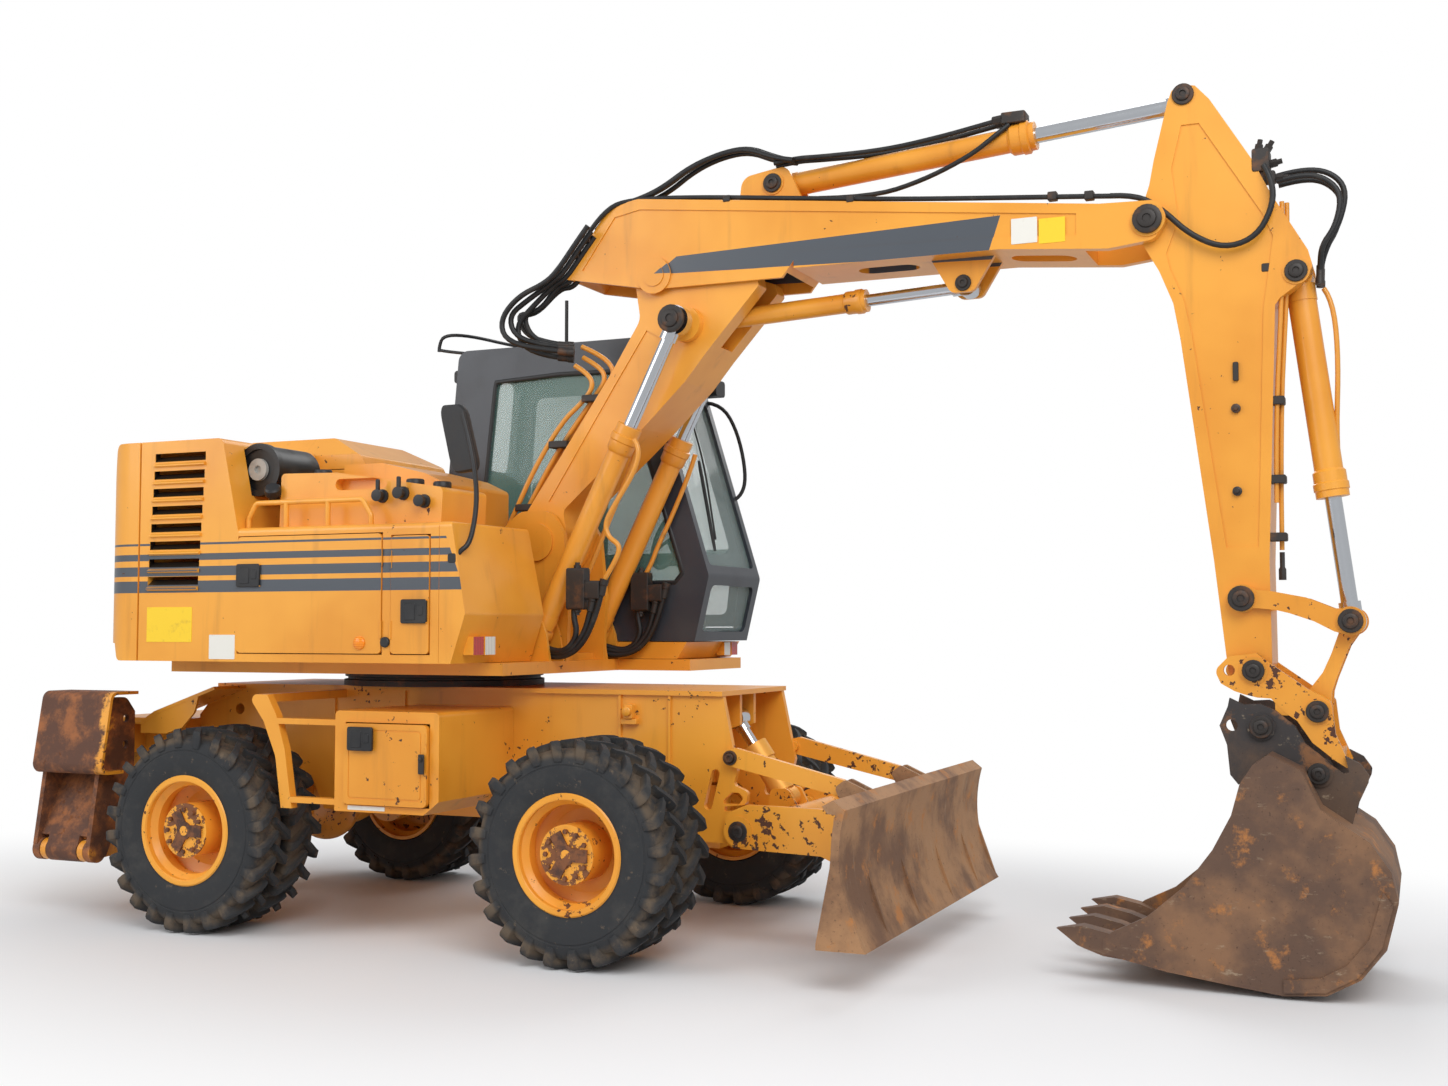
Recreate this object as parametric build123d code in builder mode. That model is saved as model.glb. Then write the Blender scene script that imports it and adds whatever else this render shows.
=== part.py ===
from build123d import *
import os
from math import cos, hypot, pi, sin

# A wheeled excavator: twin-tyred chassis with a blade in front and fold-down legs behind,
# a slewing upper part with its cab on the left, and a two-piece boom with stick and bucket.
# Millimetres. X points forward, Y to the left, Z up.
# The origin is on the ground under the middle of the front axle.

os.makedirs("parts", exist_ok=True)

# Driving dimensions of the running gear
tyre_radius = 550
tyre_width = 240
twin_gap = 20
track_outer = 1250
wheelbase = 2335
rim_radius = 285
hub_radius = 145
lug_count = 17
lug_depth = 42

# Driving dimensions of the chassis
chassis_half = 430
deck_top = 1310
deck_bottom = 1285
chassis_rear = -2950
slew_x = -1500
slew_radius = 580
slew_top = 1385

# Driving dimensions of the rear legs
leg_hinge_y = 1000
leg_hinge_z = 365
leg_rear = -3600
leg_front = -3170

# Driving dimensions of the upper part
house_half = 1220
house_floor = 1390
body_bottom = 1455
body_top = 2170
tower_top = 2660
house_rear = -3010
cab_right = 420
cab_left = 1200
cab_floor = 1560
cab_roof = 3360
cab_wall = 50
wall = 40
hinge_radius = 6
hinge_proud = 7

# Pins of the front equipment, in the side view, as (x, z)
boom_foot = (-750, 2115)
boom_hinge = (-30, 3560)
lift_foot = (-670, 1612)
lift_head = (155, 3278)
adjust_foot = (170, 3322)
adjust_head = (1666, 3397)
stick_pivot = (2609, 3598)
stick_cylinder_foot = (620, 4030)
stick_head = (2775, 4205)
bucket_cylinder_foot = (3274, 3300)
rocker_pivot = (3008, 1773)
rocker_pin = (3481, 1668)
coupler_pin = (3333, 1256)
bucket_pivot = (3058, 1439)

# Half widths and plates of the front equipment
boom_half = 190
upper_boom_half = 222
stick_half = 165
bucket_half = 480
lift_y = 330
plate = 22
web_depth = 7
web_margin = 24

# Pins of the blade, in the side view, as (x, z)
arm_pin = (575, 605)
link_pin = (530, 975)
blade_arm_pin = (1205, 470)
blade_link_pin = (1160, 840)
blade_cylinder_head = (365, 1150)
blade_cylinder_foot = (655, 735)
blade_half = 1210
arm_pin_radius = 40
link_pin_radius = 28
arm_y = 457
arm_thick = 40

# Clearances
gap = 5
fit = 0.5

sides = (("right", -1), ("left", 1))
rear_axle_x = -wheelbase
twin_inner = track_outer - 2 * tyre_width - twin_gap


def side_plane(y):
    """The side view at this Y: local x is X, local y is Z, and it extrudes to the right."""
    return Plane.XZ.offset(-y)


def save(piece, name):
    """Labels a finished piece and writes it."""
    piece.part.label = name
    export_step(piece.part, f"parts/{name}.step")


def side_profile(outline, y, rounds=()):
    """A side-view outline as a sketch, with a radius at each corner listed in rounds."""
    with BuildSketch(side_plane(y)) as profile:
        with BuildLine():
            Polyline(*outline, close=True)
        make_face()
        for spot, radius in rounds:
            fillet(profile.vertices().sort_by_distance(Vector(*spot, 0))[0], radius)
    return profile.sketch


def side_solid(outline, y_mid, thick, mode=Mode.ADD, rounds=()):
    """A plate cut to a side-view outline, centred on y_mid."""
    extrude(side_profile(outline, y_mid, rounds), amount=thick / 2, both=True, mode=mode)


def cross_round(pin, radius, y_mid, length, mode=Mode.ADD):
    """A round bar or bore along Y through a pin's place."""
    with Locations((pin[0], y_mid, pin[1])):
        Cylinder(radius, length, rotation=(90, 0, 0), mode=mode)


def long_round(x_low, x_high, y, z, radius, mode=Mode.ADD):
    """A round bar or bore along X."""
    with Locations(((x_low + x_high) / 2, y, z)):
        Cylinder(radius, x_high - x_low, rotation=(0, 90, 0), mode=mode)


def strut(start, end, y, radius, near, far, mode=Mode.ADD):
    """A round bar on the line from one pin to another, from distance near to distance far."""
    run = hypot(end[0] - start[0], end[1] - start[1])
    ux = (end[0] - start[0]) / run
    uz = (end[1] - start[1]) / run
    origin = (start[0] + ux * near, y, start[1] + uz * near)
    with BuildSketch(Plane(origin=origin, x_dir=(0, 1, 0), z_dir=(ux, 0, uz))) as section:
        Circle(radius)
    extrude(section.sketch, amount=far - near, mode=mode)


def barrel(foot, head, y, radius, length, rod_radius, eye, eye_width, pin):
    """A hydraulic barrel: eye at the foot, tube, gland at its mouth, bored for its rod."""
    gland = 1.16 * radius
    strut(foot, head, y, radius, eye * 0.6, length)
    strut(foot, head, y, gland, length - 1.6 * radius, length)
    strut(foot, head, y, 1.06 * radius, eye * 0.6, eye + 0.8 * radius)
    cross_round(foot, eye, y, eye_width)
    strut(foot, head, y, rod_radius + fit, eye + 0.5 * radius, length + 1, Mode.SUBTRACT)
    cross_round(foot, pin + fit, y, max(eye_width, 2.2 * radius) + 2, Mode.SUBTRACT)


def rod(foot, head, y, radius, start, eye, eye_width):
    """A piston rod that ends in its eye, which carries its own pin."""
    run = hypot(head[0] - foot[0], head[1] - foot[1])
    strut(foot, head, y, radius, start, run - eye * 0.6)
    strut(foot, head, y, 1.3 * radius, run - 1.45 * eye, run - eye * 0.6)
    cross_round(head, eye, y, eye_width)


def box(x_low, x_high, y_low, y_high, z_low, z_high, mode=Mode.ADD):
    """A block between two corners."""
    with Locations(((x_low + x_high) / 2, (y_low + y_high) / 2, (z_low + z_high) / 2)):
        Box(x_high - x_low, y_high - y_low, z_high - z_low, mode=mode)


def outboard(sign, y_near, y_far):
    """A range of Y on one side of the machine, low end first."""
    return min(sign * y_near, sign * y_far), max(sign * y_near, sign * y_far)


def cross_profile(outline, x, rounds=()):
    """An outline seen from the front, as (y, z), on the plane at this X."""
    with BuildSketch(Plane.YZ.offset(x)) as profile:
        with BuildLine():
            Polyline(*outline, close=True)
        make_face()
        for spot, radius in rounds:
            fillet(profile.vertices().sort_by_distance(Vector(*spot, 0))[0], radius)
    return profile.sketch


def webbed(outline, half, mode=Mode.SUBTRACT):
    """Sets the side webs of a box beam in from the edges of its flanges."""
    for sign in (-1, 1):
        with BuildSketch(side_plane(sign * (half - web_depth / 2))) as pocket:
            with BuildLine():
                Polyline(*outline, close=True)
            make_face()
            offset(amount=-web_margin, kind=Kind.INTERSECTION, mode=Mode.REPLACE)
        extrude(pocket.sketch, amount=web_depth / 2, both=True, mode=mode)

# Chassis: a closed box between the wheels, its front end open round the blade's cylinder
recess_rear = 60
recess_half = 395
arm_bracket_front = 655
chassis_outline = [
    (chassis_rear, 640),
    (chassis_rear, 1120),
    (-2800, deck_bottom),
    (470, deck_bottom),
    (550, 905),
    (530, 835),
    (610, 800),
    (600, 735),
    (480, 722),
    (478, 700),
    (arm_bracket_front, 700),
    (arm_bracket_front, 530),
    (300, 540),
    (230, 760),
    (-300, 760),
    (-420, 600),
    (-2030, 600),
    (-2110, 760),
    (-2570, 760),
    (-2640, 640),
]
chassis_rounds = [((530, 835), 20), ((610, 800), 25), ((600, 735), 25), ((arm_bracket_front, 700), 30),
                  ((arm_bracket_front, 530), 60), ((230, 760), 60), ((-300, 760), 60), ((-420, 600), 60)]
pocket_outline = [(475, 735), (560, 735), (585, 770), (560, 795), (520, 795), (475, 755)]
wing_outline = [(-2600, 1300), (-3040, 1150), (-3140, 1090), (-3280, 1080), (-3280, 1064), (-3130, 1074),
                (-3030, 1134), (-2590, 1284)]
wing_rib_outline = [(-2620, 1290), (-2710, 1255), (-2740, 1150), (-2830, 1060), (-2950, 1022), (-3140, 1022),
                    (-3140, 1086), (-3040, 1142)]
wing_edge = 715
rib_places = (170, -120, -1480, -1960)
rib_thick = 14
rib_proud = 14
beam_half = 560
beam_bottom = 420
beam_top = 1100
ear_thick = 40
leg_gap = 5
leg_ears = (leg_rear + 50 + leg_gap, leg_front - 50 - leg_gap - ear_thick)
with BuildPart() as chassis_frame:
    side_solid(chassis_outline, 0, 2 * chassis_half, rounds=chassis_rounds)
    box(-2800, 475, -450, 450, deck_bottom, deck_top)
    box(recess_rear, 800, -recess_half, recess_half, 500, deck_bottom, Mode.SUBTRACT)
    box(250, 520, -recess_half - 10, recess_half + 10, 540, 565)
    side_solid(pocket_outline, 0, 2 * chassis_half + 2, Mode.SUBTRACT,
               rounds=[((585, 770), 15), ((560, 795), 15)])
    # A hole torn in each side plate behind the links
    with Locations((408, 0, 805)):
        with BuildSketch(side_plane(0)) as torn:
            with Locations((408, 805)):
                SlotOverall(215, 46, rotation=76)
    extrude(torn.sketch, amount=chassis_half + 2, both=True, mode=Mode.SUBTRACT)
    for name, sign in sides:
        low, high = outboard(sign, chassis_half - 2, chassis_half + rib_proud)
        for rib_x in rib_places:
            box(rib_x - rib_thick / 2, rib_x + rib_thick / 2, low, high, 765, deck_bottom + 1)
        # The wing that slopes from the deck down to the legs, with the rib under it
        wing_mid = sign * (chassis_half + wing_edge) / 2
        side_solid(wing_outline, wing_mid, wing_edge - chassis_half + 4)
        side_solid(wing_rib_outline, sign * (wing_edge - 8), 16, rounds=[((-2740, 1150), 70)])
        cross_round(arm_pin, arm_pin_radius, sign * (chassis_half + 20), 72)
        cross_round(link_pin, link_pin_radius, sign * (chassis_half + 20), 72)
    # Rear cross box, with the ears that each leg hinges on
    box(leg_rear + 20, chassis_rear + 10, -beam_half, beam_half, beam_bottom, beam_top)
    for name, sign in sides:
        ear_outline = [(sign * (beam_half - 5), beam_bottom), (sign * (beam_half - 5), 720),
                       (sign * 870, 440), (sign * leg_hinge_y, leg_hinge_z + 55),
                       (sign * leg_hinge_y, leg_hinge_z - 55), (sign * 800, 320)]
        for ear_x in leg_ears:
            extrude(cross_profile(ear_outline, ear_x), amount=ear_thick)
            long_round(ear_x, ear_x + ear_thick, sign * leg_hinge_y, leg_hinge_z, 62)
        long_round(leg_rear + 12, leg_front - 12, sign * leg_hinge_y, leg_hinge_z, 30)
        brace_low, brace_high = outboard(sign, beam_half - 2, wing_edge)
        box(-3280, -3250, brace_low, brace_high, 900, 1080)
    for y_ear in (-95, 95):
        side_solid([(50, 1290), (50, 1080), (330, 1080), (430, 1120), (430, 1290)], y_ear, 30)
    cross_round((-2650, 1160), 32, 0, 2 * chassis_half + 10, Mode.SUBTRACT)
save(chassis_frame, "chassis_frame")

ring_inner = slew_radius - 110
with BuildPart() as slew_ring:
    with BuildSketch(Plane.XZ) as ring_section:
        with BuildLine():
            Polyline(
                (slew_x + ring_inner, deck_top), (slew_x + slew_radius, deck_top),
                (slew_x + slew_radius, deck_top + 32), (slew_x + slew_radius - 22, deck_top + 36),
                (slew_x + slew_radius - 22, slew_top - 28), (slew_x + slew_radius - 6, slew_top - 24),
                (slew_x + slew_radius - 6, slew_top), (slew_x + ring_inner, slew_top), close=True,
            )
        make_face()
    revolve(ring_section.sketch, axis=Axis((slew_x, 0, 0), (0, 0, 1)))
save(slew_ring, "slew_ring")

# Axles: tapered beams with a differential, under the chassis
knuckle_y = 560
kingpin_radius = 45
axle_neck = 82
axle_root = 115


def axle_beam(axle_x, reach, bulb):
    """A beam along Y, waisted towards its ends, with a round differential in its middle."""
    with BuildSketch(Plane.XY.offset(tyre_radius)) as section:
        with BuildLine():
            Polyline((axle_x, -reach), (axle_x + axle_neck, -reach), (axle_x + axle_neck, -reach * 0.65),
                     (axle_x + axle_root, -reach * 0.4), (axle_x + axle_root, reach * 0.4),
                     (axle_x + axle_neck, reach * 0.65), (axle_x + axle_neck, reach), (axle_x, reach), close=True)
        make_face()
    revolve(section.sketch, axis=Axis((axle_x, 0, tyre_radius), (0, 1, 0)))
    with Locations((axle_x, 0, tyre_radius)):
        Sphere(bulb)


with BuildPart() as front_axle:
    axle_beam(0, knuckle_y - 90, 185)
    box(-120, 120, -150, 270, tyre_radius, 755)
    for name, sign in sides:
        yoke_low, yoke_high = outboard(sign, 430, 600)
        for z_low in (tyre_radius - 170, tyre_radius + 130):
            box(-75, 75, yoke_low, yoke_high, z_low, z_low + 40)
        post_low, post_high = outboard(sign, 430, 465)
        box(-75, 75, post_low, post_high, tyre_radius - 170, tyre_radius + 170)
        with Locations((0, sign * knuckle_y, tyre_radius)):
            Cylinder(kingpin_radius - 10, 330)
save(front_axle, "front_axle")

with BuildPart() as rear_axle:
    axle_beam(rear_axle_x, twin_inner - 90, 190)
    box(rear_axle_x - 130, rear_axle_x + 130, -300, 300, tyre_radius, 755)
    for name, sign in sides:
        cross_round((rear_axle_x, tyre_radius), 150, sign * (twin_inner - 110), 60)
save(rear_axle, "rear_axle")

# Knuckles: a ring round the kingpin and the drum that the wheel turns on
for name, sign in sides:
    with BuildPart() as knuckle:
        with Locations((0, sign * knuckle_y, tyre_radius)):
            Cylinder(kingpin_radius + 35, 240)
        cross_round((0, tyre_radius), 118, sign * (knuckle_y + 100), 130)
        with Locations((-150, sign * (knuckle_y + 20), tyre_radius - 60)):
            Box(200, 50, 40)
        with Locations((0, sign * knuckle_y, tyre_radius)):
            Cylinder(kingpin_radius - 10 + fit, 300, mode=Mode.SUBTRACT)
    save(knuckle, f"knuckle_{name}")

# One tyre: a band with sloping sidewalls under two rows of lugs, half a pitch apart
tyre_half = tyre_width / 2
tread_half = tyre_half - 6
bead_half = 84
sidewall_radius = 486
shoulder = 0.965
lug_share = 0.46
lug_slope = 0.1
lug_pitch = 2 * pi / lug_count


def lug_outline(y, scale, turn):
    """The outline of one row of lugs at this Y: a toothed wheel turned by an angle."""
    corners = []
    for i in range(lug_count):
        for share, reach in ((0, -lug_depth), (lug_slope, 0), (lug_share, 0), (lug_share + lug_slope, -lug_depth)):
            angle = turn + (i + share) * lug_pitch
            radius = scale * (tyre_radius + reach)
            corners.append((radius * cos(angle), radius * sin(angle)))
    with BuildSketch(side_plane(y)) as toothed:
        with BuildLine():
            Polyline(*corners, close=True)
        make_face()
    return toothed.sketch


with BuildPart() as tyre_form:
    for sign in (-1, 1):
        turn = max(0, sign) * lug_pitch / 2
        loft(sections=[lug_outline(0, 1, turn), lug_outline(sign * tread_half, shoulder, turn)], ruled=True)
    with BuildSketch(Plane.XY) as wall_section:
        with BuildLine():
            Polyline((rim_radius, -bead_half), (sidewall_radius, -tyre_half),
                     (sidewall_radius, tyre_half), (rim_radius, bead_half), close=True)
        make_face()
    revolve(wall_section.sketch, axis=Axis.Y)
    cross_round((0, 0), rim_radius, 0, 2 * tyre_width, Mode.SUBTRACT)

# Rims: flange, well and dish in one turned form, with the hub's drum and its three-armed cover
rim_wall = 20
dish_depth = 150
drum_face = 26
rim_half = [
    (0, 30), (hub_radius + 60, 30), (rim_radius - rim_wall, 62), (rim_radius - rim_wall, 100),
    (rim_radius - rim_wall - 28, 118), (rim_radius - rim_wall - 28, 168), (rim_radius - rim_wall, 196),
    (rim_radius - rim_wall, 236), (rim_radius - 0.2, 236), (rim_radius - 0.2, 0), (0, 0),
]
for end, axle_x in (("front", 0), ("rear", rear_axle_x)):
    for name, sign in sides:
        outer_mid = sign * (track_outer - tyre_width / 2)
        inner_mid = sign * (track_outer - 1.5 * tyre_width - twin_gap)
        wheel = (axle_x, tyre_radius)
        with BuildPart() as tyres:
            with Locations((axle_x, outer_mid, tyre_radius), (axle_x, inner_mid, tyre_radius)):
                add(tyre_form.part)
            cross_round(wheel, rim_radius + 50, (outer_mid + inner_mid) / 2, twin_gap + 70)
            cross_round(wheel, rim_radius, sign * 1000, 600, Mode.SUBTRACT)
        save(tyres, f"tyres_{end}_{name}")
        with BuildPart() as rim:
            twin_mid = sign * (track_outer - tyre_width - twin_gap / 2)
            with BuildSketch(Plane.XY.offset(tyre_radius)) as rim_section:
                with BuildLine():
                    Polyline(*[(axle_x + r, twin_mid + sign * y) for r, y in rim_half], close=True)
                make_face()
                with BuildLine():
                    Polyline(*[(axle_x + r, twin_mid - sign * y) for r, y in rim_half], close=True)
                make_face()
            revolve(rim_section.sketch, axis=Axis((axle_x, 0, tyre_radius), (0, 1, 0)))
            drum_low, drum_high = outboard(sign, 735, track_outer - drum_face)
            cross_round(wheel, hub_radius, (drum_low + drum_high) / 2, drum_high - drum_low)
            with BuildSketch(side_plane(sign * (track_outer - drum_face + 5))) as cover:
                with Locations(wheel):
                    Circle(48)
                    with PolarLocations(58, 3):
                        Rectangle(116, 62)
            extrude(cover.sketch, amount=6, both=True)
        save(rim, f"rim_{end}_{name}")

# Boxes and steps between the axles, one on each side
box_front = -776
box_rear = -1415
box_outer = 1150
box_bottom = 690
box_top = 1208
step_plate = [(-1990, 1283), (-1860, 1283), (-1800, 1180), (-1740, 1000), (-1690, box_bottom),
              (-1760, box_bottom), (-1800, 960), (-1880, 1140)]
for name, sign in sides:
    low, high = outboard(sign, chassis_half + 1, box_outer)
    with BuildPart() as side_box:
        side_solid([(box_rear, box_bottom), (box_rear, box_top), (box_front, box_top),
                    (box_front, box_bottom + 70), (box_front - 90, box_bottom)],
                   (low + high) / 2, high - low, rounds=[((box_rear, box_top), 25), ((box_front, box_top), 25)])
        if name == "right":
            box(box_rear + 65, box_front - 55, -box_outer - 1, -box_outer + 500, 725, 1150, Mode.SUBTRACT)
        side_solid(step_plate, sign * 1125, 50, rounds=[((-1990, 1283), 30), ((-1800, 960), 120)])
        step_low, step_high = outboard(sign, 1100, 1150)
        box(-1940, -1880, low, high, 1240, 1283)
        for rung_z in (720, 1130):
            box(-1850 + (1130 - rung_z) * 0.35, box_rear + 5, step_low, step_high, rung_z, rung_z + 30)
    save(side_box, f"side_box_{name}")

with BuildPart() as box_door:
    with BuildSketch(side_plane(-box_outer - 7)) as door_sheet:
        with Locations(((box_rear + box_front + 10) / 2, 937.5)):
            RectangleRounded(box_front - box_rear - 130, 415, 28)
    extrude(door_sheet.sketch, amount=15, both=True)
    with BuildSketch(side_plane(-box_outer - 22)) as door_press:
        with Locations(((box_rear + box_front + 10) / 2, 937.5)):
            RectangleRounded(box_front - box_rear - 190, 355, 20)
            RectangleRounded(box_front - box_rear - 206, 339, 16, mode=Mode.SUBTRACT)
    extrude(door_press.sketch, amount=-3, mode=Mode.SUBTRACT)
    box(box_rear + 110, box_rear + 230, -box_outer - 38, -box_outer - 21, 1020, 1120)
    for z_hinge in (800, 1080):
        with Locations((box_front - 60, -box_outer - 24, z_hinge)):
            Cylinder(hinge_radius, 60)
save(box_door, "box_door")

# Blade: arms below, links above, one cylinder in the recess
arm_outline = [(500, 690), (620, 740), (1110, 735), (1262, 560), (1262, 400), (1020, 504), (510, 520)]
with BuildPart() as blade_arms:
    for name, sign in sides:
        side_solid(arm_outline, sign * arm_y, arm_thick,
                   rounds=[((500, 690), 60), ((510, 520), 60), ((1110, 735), 60)])
        cross_round(arm_pin, 78, sign * arm_y, arm_thick + 12)
    cross_round((760, 650), 60, 0, 2 * arm_y)
    for y_ear in (-85, 85):
        side_solid([(580, 640), (600, 790), (700, 790), (780, 640)], y_ear, 24,
                   rounds=[((600, 790), 30), ((700, 790), 40)])
    cross_round(blade_cylinder_foot, 32, 0, 160)
    for name, sign in sides:
        cross_round(arm_pin, arm_pin_radius + fit, sign * arm_y, 70, Mode.SUBTRACT)
        cross_round(blade_arm_pin, 36 + fit, sign * arm_y, 70, Mode.SUBTRACT)
save(blade_arms, "blade_arms")

link_outline = [(490, 940), (490, 1010), (560, 1025), (1140, 885), (1205, 840), (1160, 795), (560, 925)]
with BuildPart() as blade_links:
    for name, sign in sides:
        side_solid(link_outline, sign * arm_y, 36, rounds=[((490, 940), 20), ((490, 1010), 20), ((1205, 840), 20)])
        cross_round(link_pin, link_pin_radius + fit, sign * arm_y, 50, Mode.SUBTRACT)
        cross_round(blade_link_pin, link_pin_radius + fit, sign * arm_y, 50, Mode.SUBTRACT)
save(blade_links, "blade_links")

# The mouldboard: a curved plate with a rolled top edge, a cutting edge and ribs behind
rib_half = 9
with BuildPart() as blade:
    with BuildSketch(side_plane(0)) as blade_section:
        with BuildLine():
            Line((1391, 832), (1404, 822))
            ThreePointArc((1404, 822), (1376, 560), (1497, 197))
            Polyline((1497, 197), (1462, 197), (1444, 250))
            ThreePointArc((1444, 250), (1340, 560), (1358, 800))
            Polyline((1358, 800), (1320, 806), (1294, 836), (1348, 866), (1391, 832))
        make_face()
    extrude(blade_section.sketch, amount=blade_half, both=True)
    end_outline = [(1352, 790), (1330, 560), (1262, 225), (1262, 197), (1490, 197), (1360, 560), (1385, 800)]
    for y_rib in (-blade_half + 11, -820, -300, 300, 820, blade_half - 11):
        thick = 22 if abs(y_rib) > 1000 else 2 * rib_half
        side_solid(end_outline, y_rib, thick, rounds=[((1330, 560), 200)])
    for name, sign in sides:
        for y_ear in (arm_y - 48, arm_y + 48):
            side_solid([(1190, 420), (1150, 470), (1190, 530), (1360, 560), (1400, 300)], sign * y_ear, 24,
                       rounds=[((1190, 420), 20), ((1150, 470), 30), ((1190, 530), 20)])
        cross_round(blade_arm_pin, 36, sign * arm_y, 120)
        for y_ear in (arm_y - 42, arm_y + 42):
            side_solid([(1135, 790), (1105, 850), (1160, 890), (1360, 800), (1360, 700)], sign * y_ear, 24,
                       rounds=[((1135, 790), 20), ((1105, 850), 25), ((1160, 890), 20)])
        cross_round(blade_link_pin, link_pin_radius, sign * arm_y, 100)
save(blade, "blade")

blade_foot = blade_cylinder_foot
with BuildPart() as blade_barrel:
    barrel(blade_foot, blade_cylinder_head, 0, 62, 330, 30, 60, 100, 32)
save(blade_barrel, "blade_barrel")
with BuildPart() as blade_rod:
    rod(blade_foot, blade_cylinder_head, 0, 30, 150, 58, 100)
save(blade_rod, "blade_rod")

# Rear legs: each hinges on a tube along X and stands folded up beside the chassis, with its
# curved foot plate outermost
pad_rear = -3600
pad_front = -3080
pad_thick = 18
side_thick = 30
leg_side = [(-1050, 330), (-1060, 400), (-985, 900), (-985, 1190), (-900, 1235), (-800, 1235), (-730, 1150),
            (-730, 760), (-935, 330)]
leg_cover = [(-1030, 450), (-850, 800), (-828, 790), (-1008, 440)]
for name, sign in sides:
    flip = -sign
    with BuildPart() as leg:
        for x_low in (leg_rear, leg_front - side_thick):
            outline = [(flip * y, z) for y, z in leg_side]
            rounds = [((flip * -900, 1235), 60), ((flip * -800, 1235), 60)]
            extrude(cross_profile(outline, x_low, rounds), amount=side_thick)
        for x_low, x_high in ((leg_rear, leg_rear + 50), (leg_front - 50, leg_front)):
            long_round(x_low, x_high, sign * leg_hinge_y, leg_hinge_z, 65)
        tube_rear = leg_ears[0] + ear_thick + leg_gap
        tube_front = leg_ears[1] - leg_gap
        long_round(tube_rear, tube_front, sign * leg_hinge_y, leg_hinge_z, 65)
        cover_outline = [(flip * y, z) for y, z in leg_cover]
        extrude(cross_profile(cover_outline, leg_rear + 5), amount=leg_front - leg_rear - 10)
        # The strap from the tube up into the cover keeps the tube on the leg between the ears
        strap = [(flip * -1062, 365), (flip * -1036, 455), (flip * -1005, 445), (flip * -1010, 365)]
        extrude(cross_profile(strap, tube_rear), amount=tube_front - tube_rear)
        with BuildSketch(Plane.YZ.offset(pad_rear)) as pad_section:
            with BuildLine() as pad_line:
                FilletPolyline((flip * -905, 812), (flip * -1075, 812), (flip * -1000, 1262), (flip * -800, 1262),
                               radius=45)
            trace(pad_line.line, pad_thick)
        extrude(pad_section.sketch, amount=pad_front - pad_rear)
        for x_low in (leg_rear + 120, leg_front - 150):
            stay = [(flip * -1062, 840), (flip * -1000, 1250), (flip * -975, 1250), (flip * -975, 840)]
            extrude(cross_profile(stay, x_low), amount=20)
        long_round(leg_rear + 12, leg_front - 12, sign * leg_hinge_y, leg_hinge_z, 30 + fit, Mode.SUBTRACT)
        long_round(leg_rear - 1, leg_front + 1, sign * 800, 960, 24, Mode.SUBTRACT)
        long_round(leg_rear - 1, leg_front + 1, sign * 800, 1110, 24, Mode.SUBTRACT)
    save(leg, f"leg_{name}")

# Upper part: the base plate with the boom's and the lift cylinders' brackets
cheek_thick = 36
cheek_y = boom_half + gap + cheek_thick / 2 + 3
cheek_outline = [(-1290, 1450), (-1180, 1800), (-990, 2180), (-860, 2290), (-660, 2290), (-580, 2160), (-545, 1820),
                 (-560, 1450)]
cheek_rounds = [((-990, 2180), 120), ((-860, 2290), 90), ((-660, 2290), 110), ((-580, 2160), 60)]
ear_outline = [(-830, 1450), (-740, 1640), (-715, 1690), (-620, 1690), (-585, 1600), (-560, 1450)]
with BuildPart() as house_frame:
    box(-2745, -560, -900, 900, house_floor, body_bottom)
    box(-1700, -100, cab_right - 20, 1150, house_floor, body_bottom)
    with Locations((slew_x, 0, house_floor + 20)):
        Cylinder(slew_radius + 10, 40)
    for sign in (-1, 1):
        side_solid(cheek_outline, sign * cheek_y, cheek_thick, rounds=cheek_rounds)
        cross_round(boom_foot, 105, sign * (cheek_y + 8), cheek_thick + 16)
        for y_ear in (lift_y - 75, lift_y + 75):
            side_solid(ear_outline, sign * y_ear, 20, rounds=[((-715, 1690), 40), ((-620, 1690), 45)])
        cross_round(lift_foot, 40, sign * lift_y, 150)
    cross_round(boom_foot, 55, 0, 2 * cheek_y + 70)
    box(-1270, -620, -cheek_y, cheek_y, body_bottom - 1, body_bottom + 40)
    box(-1250, -1214, -cheek_y, cheek_y, body_bottom, 1640)
save(house_frame, "house_frame")

# Counterweight: a slab behind the engine whose upright corners are well rounded
corner_radius = 240
counterweight_outline = [
    (-2702, tower_top), (-2900, tower_top), (-2990, 2172), (house_rear, 1800),
    (-2998, 1557), (-2890, 1552), (-2860, body_bottom + 2), (-2702, body_bottom + 2),
]
with BuildPart() as counterweight:
    side_solid(counterweight_outline, 0, 2 * house_half,
               rounds=[((-2900, tower_top), 60), ((-2998, 1557), 25), ((-2860, body_bottom + 2), 40)])
    with BuildSketch(Plane.XY.offset(body_bottom)) as plan:
        with BuildLine():
            Polyline((-2600, -house_half), (house_rear, -house_half), (house_rear, house_half), (-2600, house_half),
                     close=True)
        make_face()
        fillet(plan.vertices().group_by(Axis.X)[0], corner_radius)
    extrude(plan.sketch, amount=tower_top - body_bottom, mode=Mode.INTERSECT)
save(counterweight, "counterweight")

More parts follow.
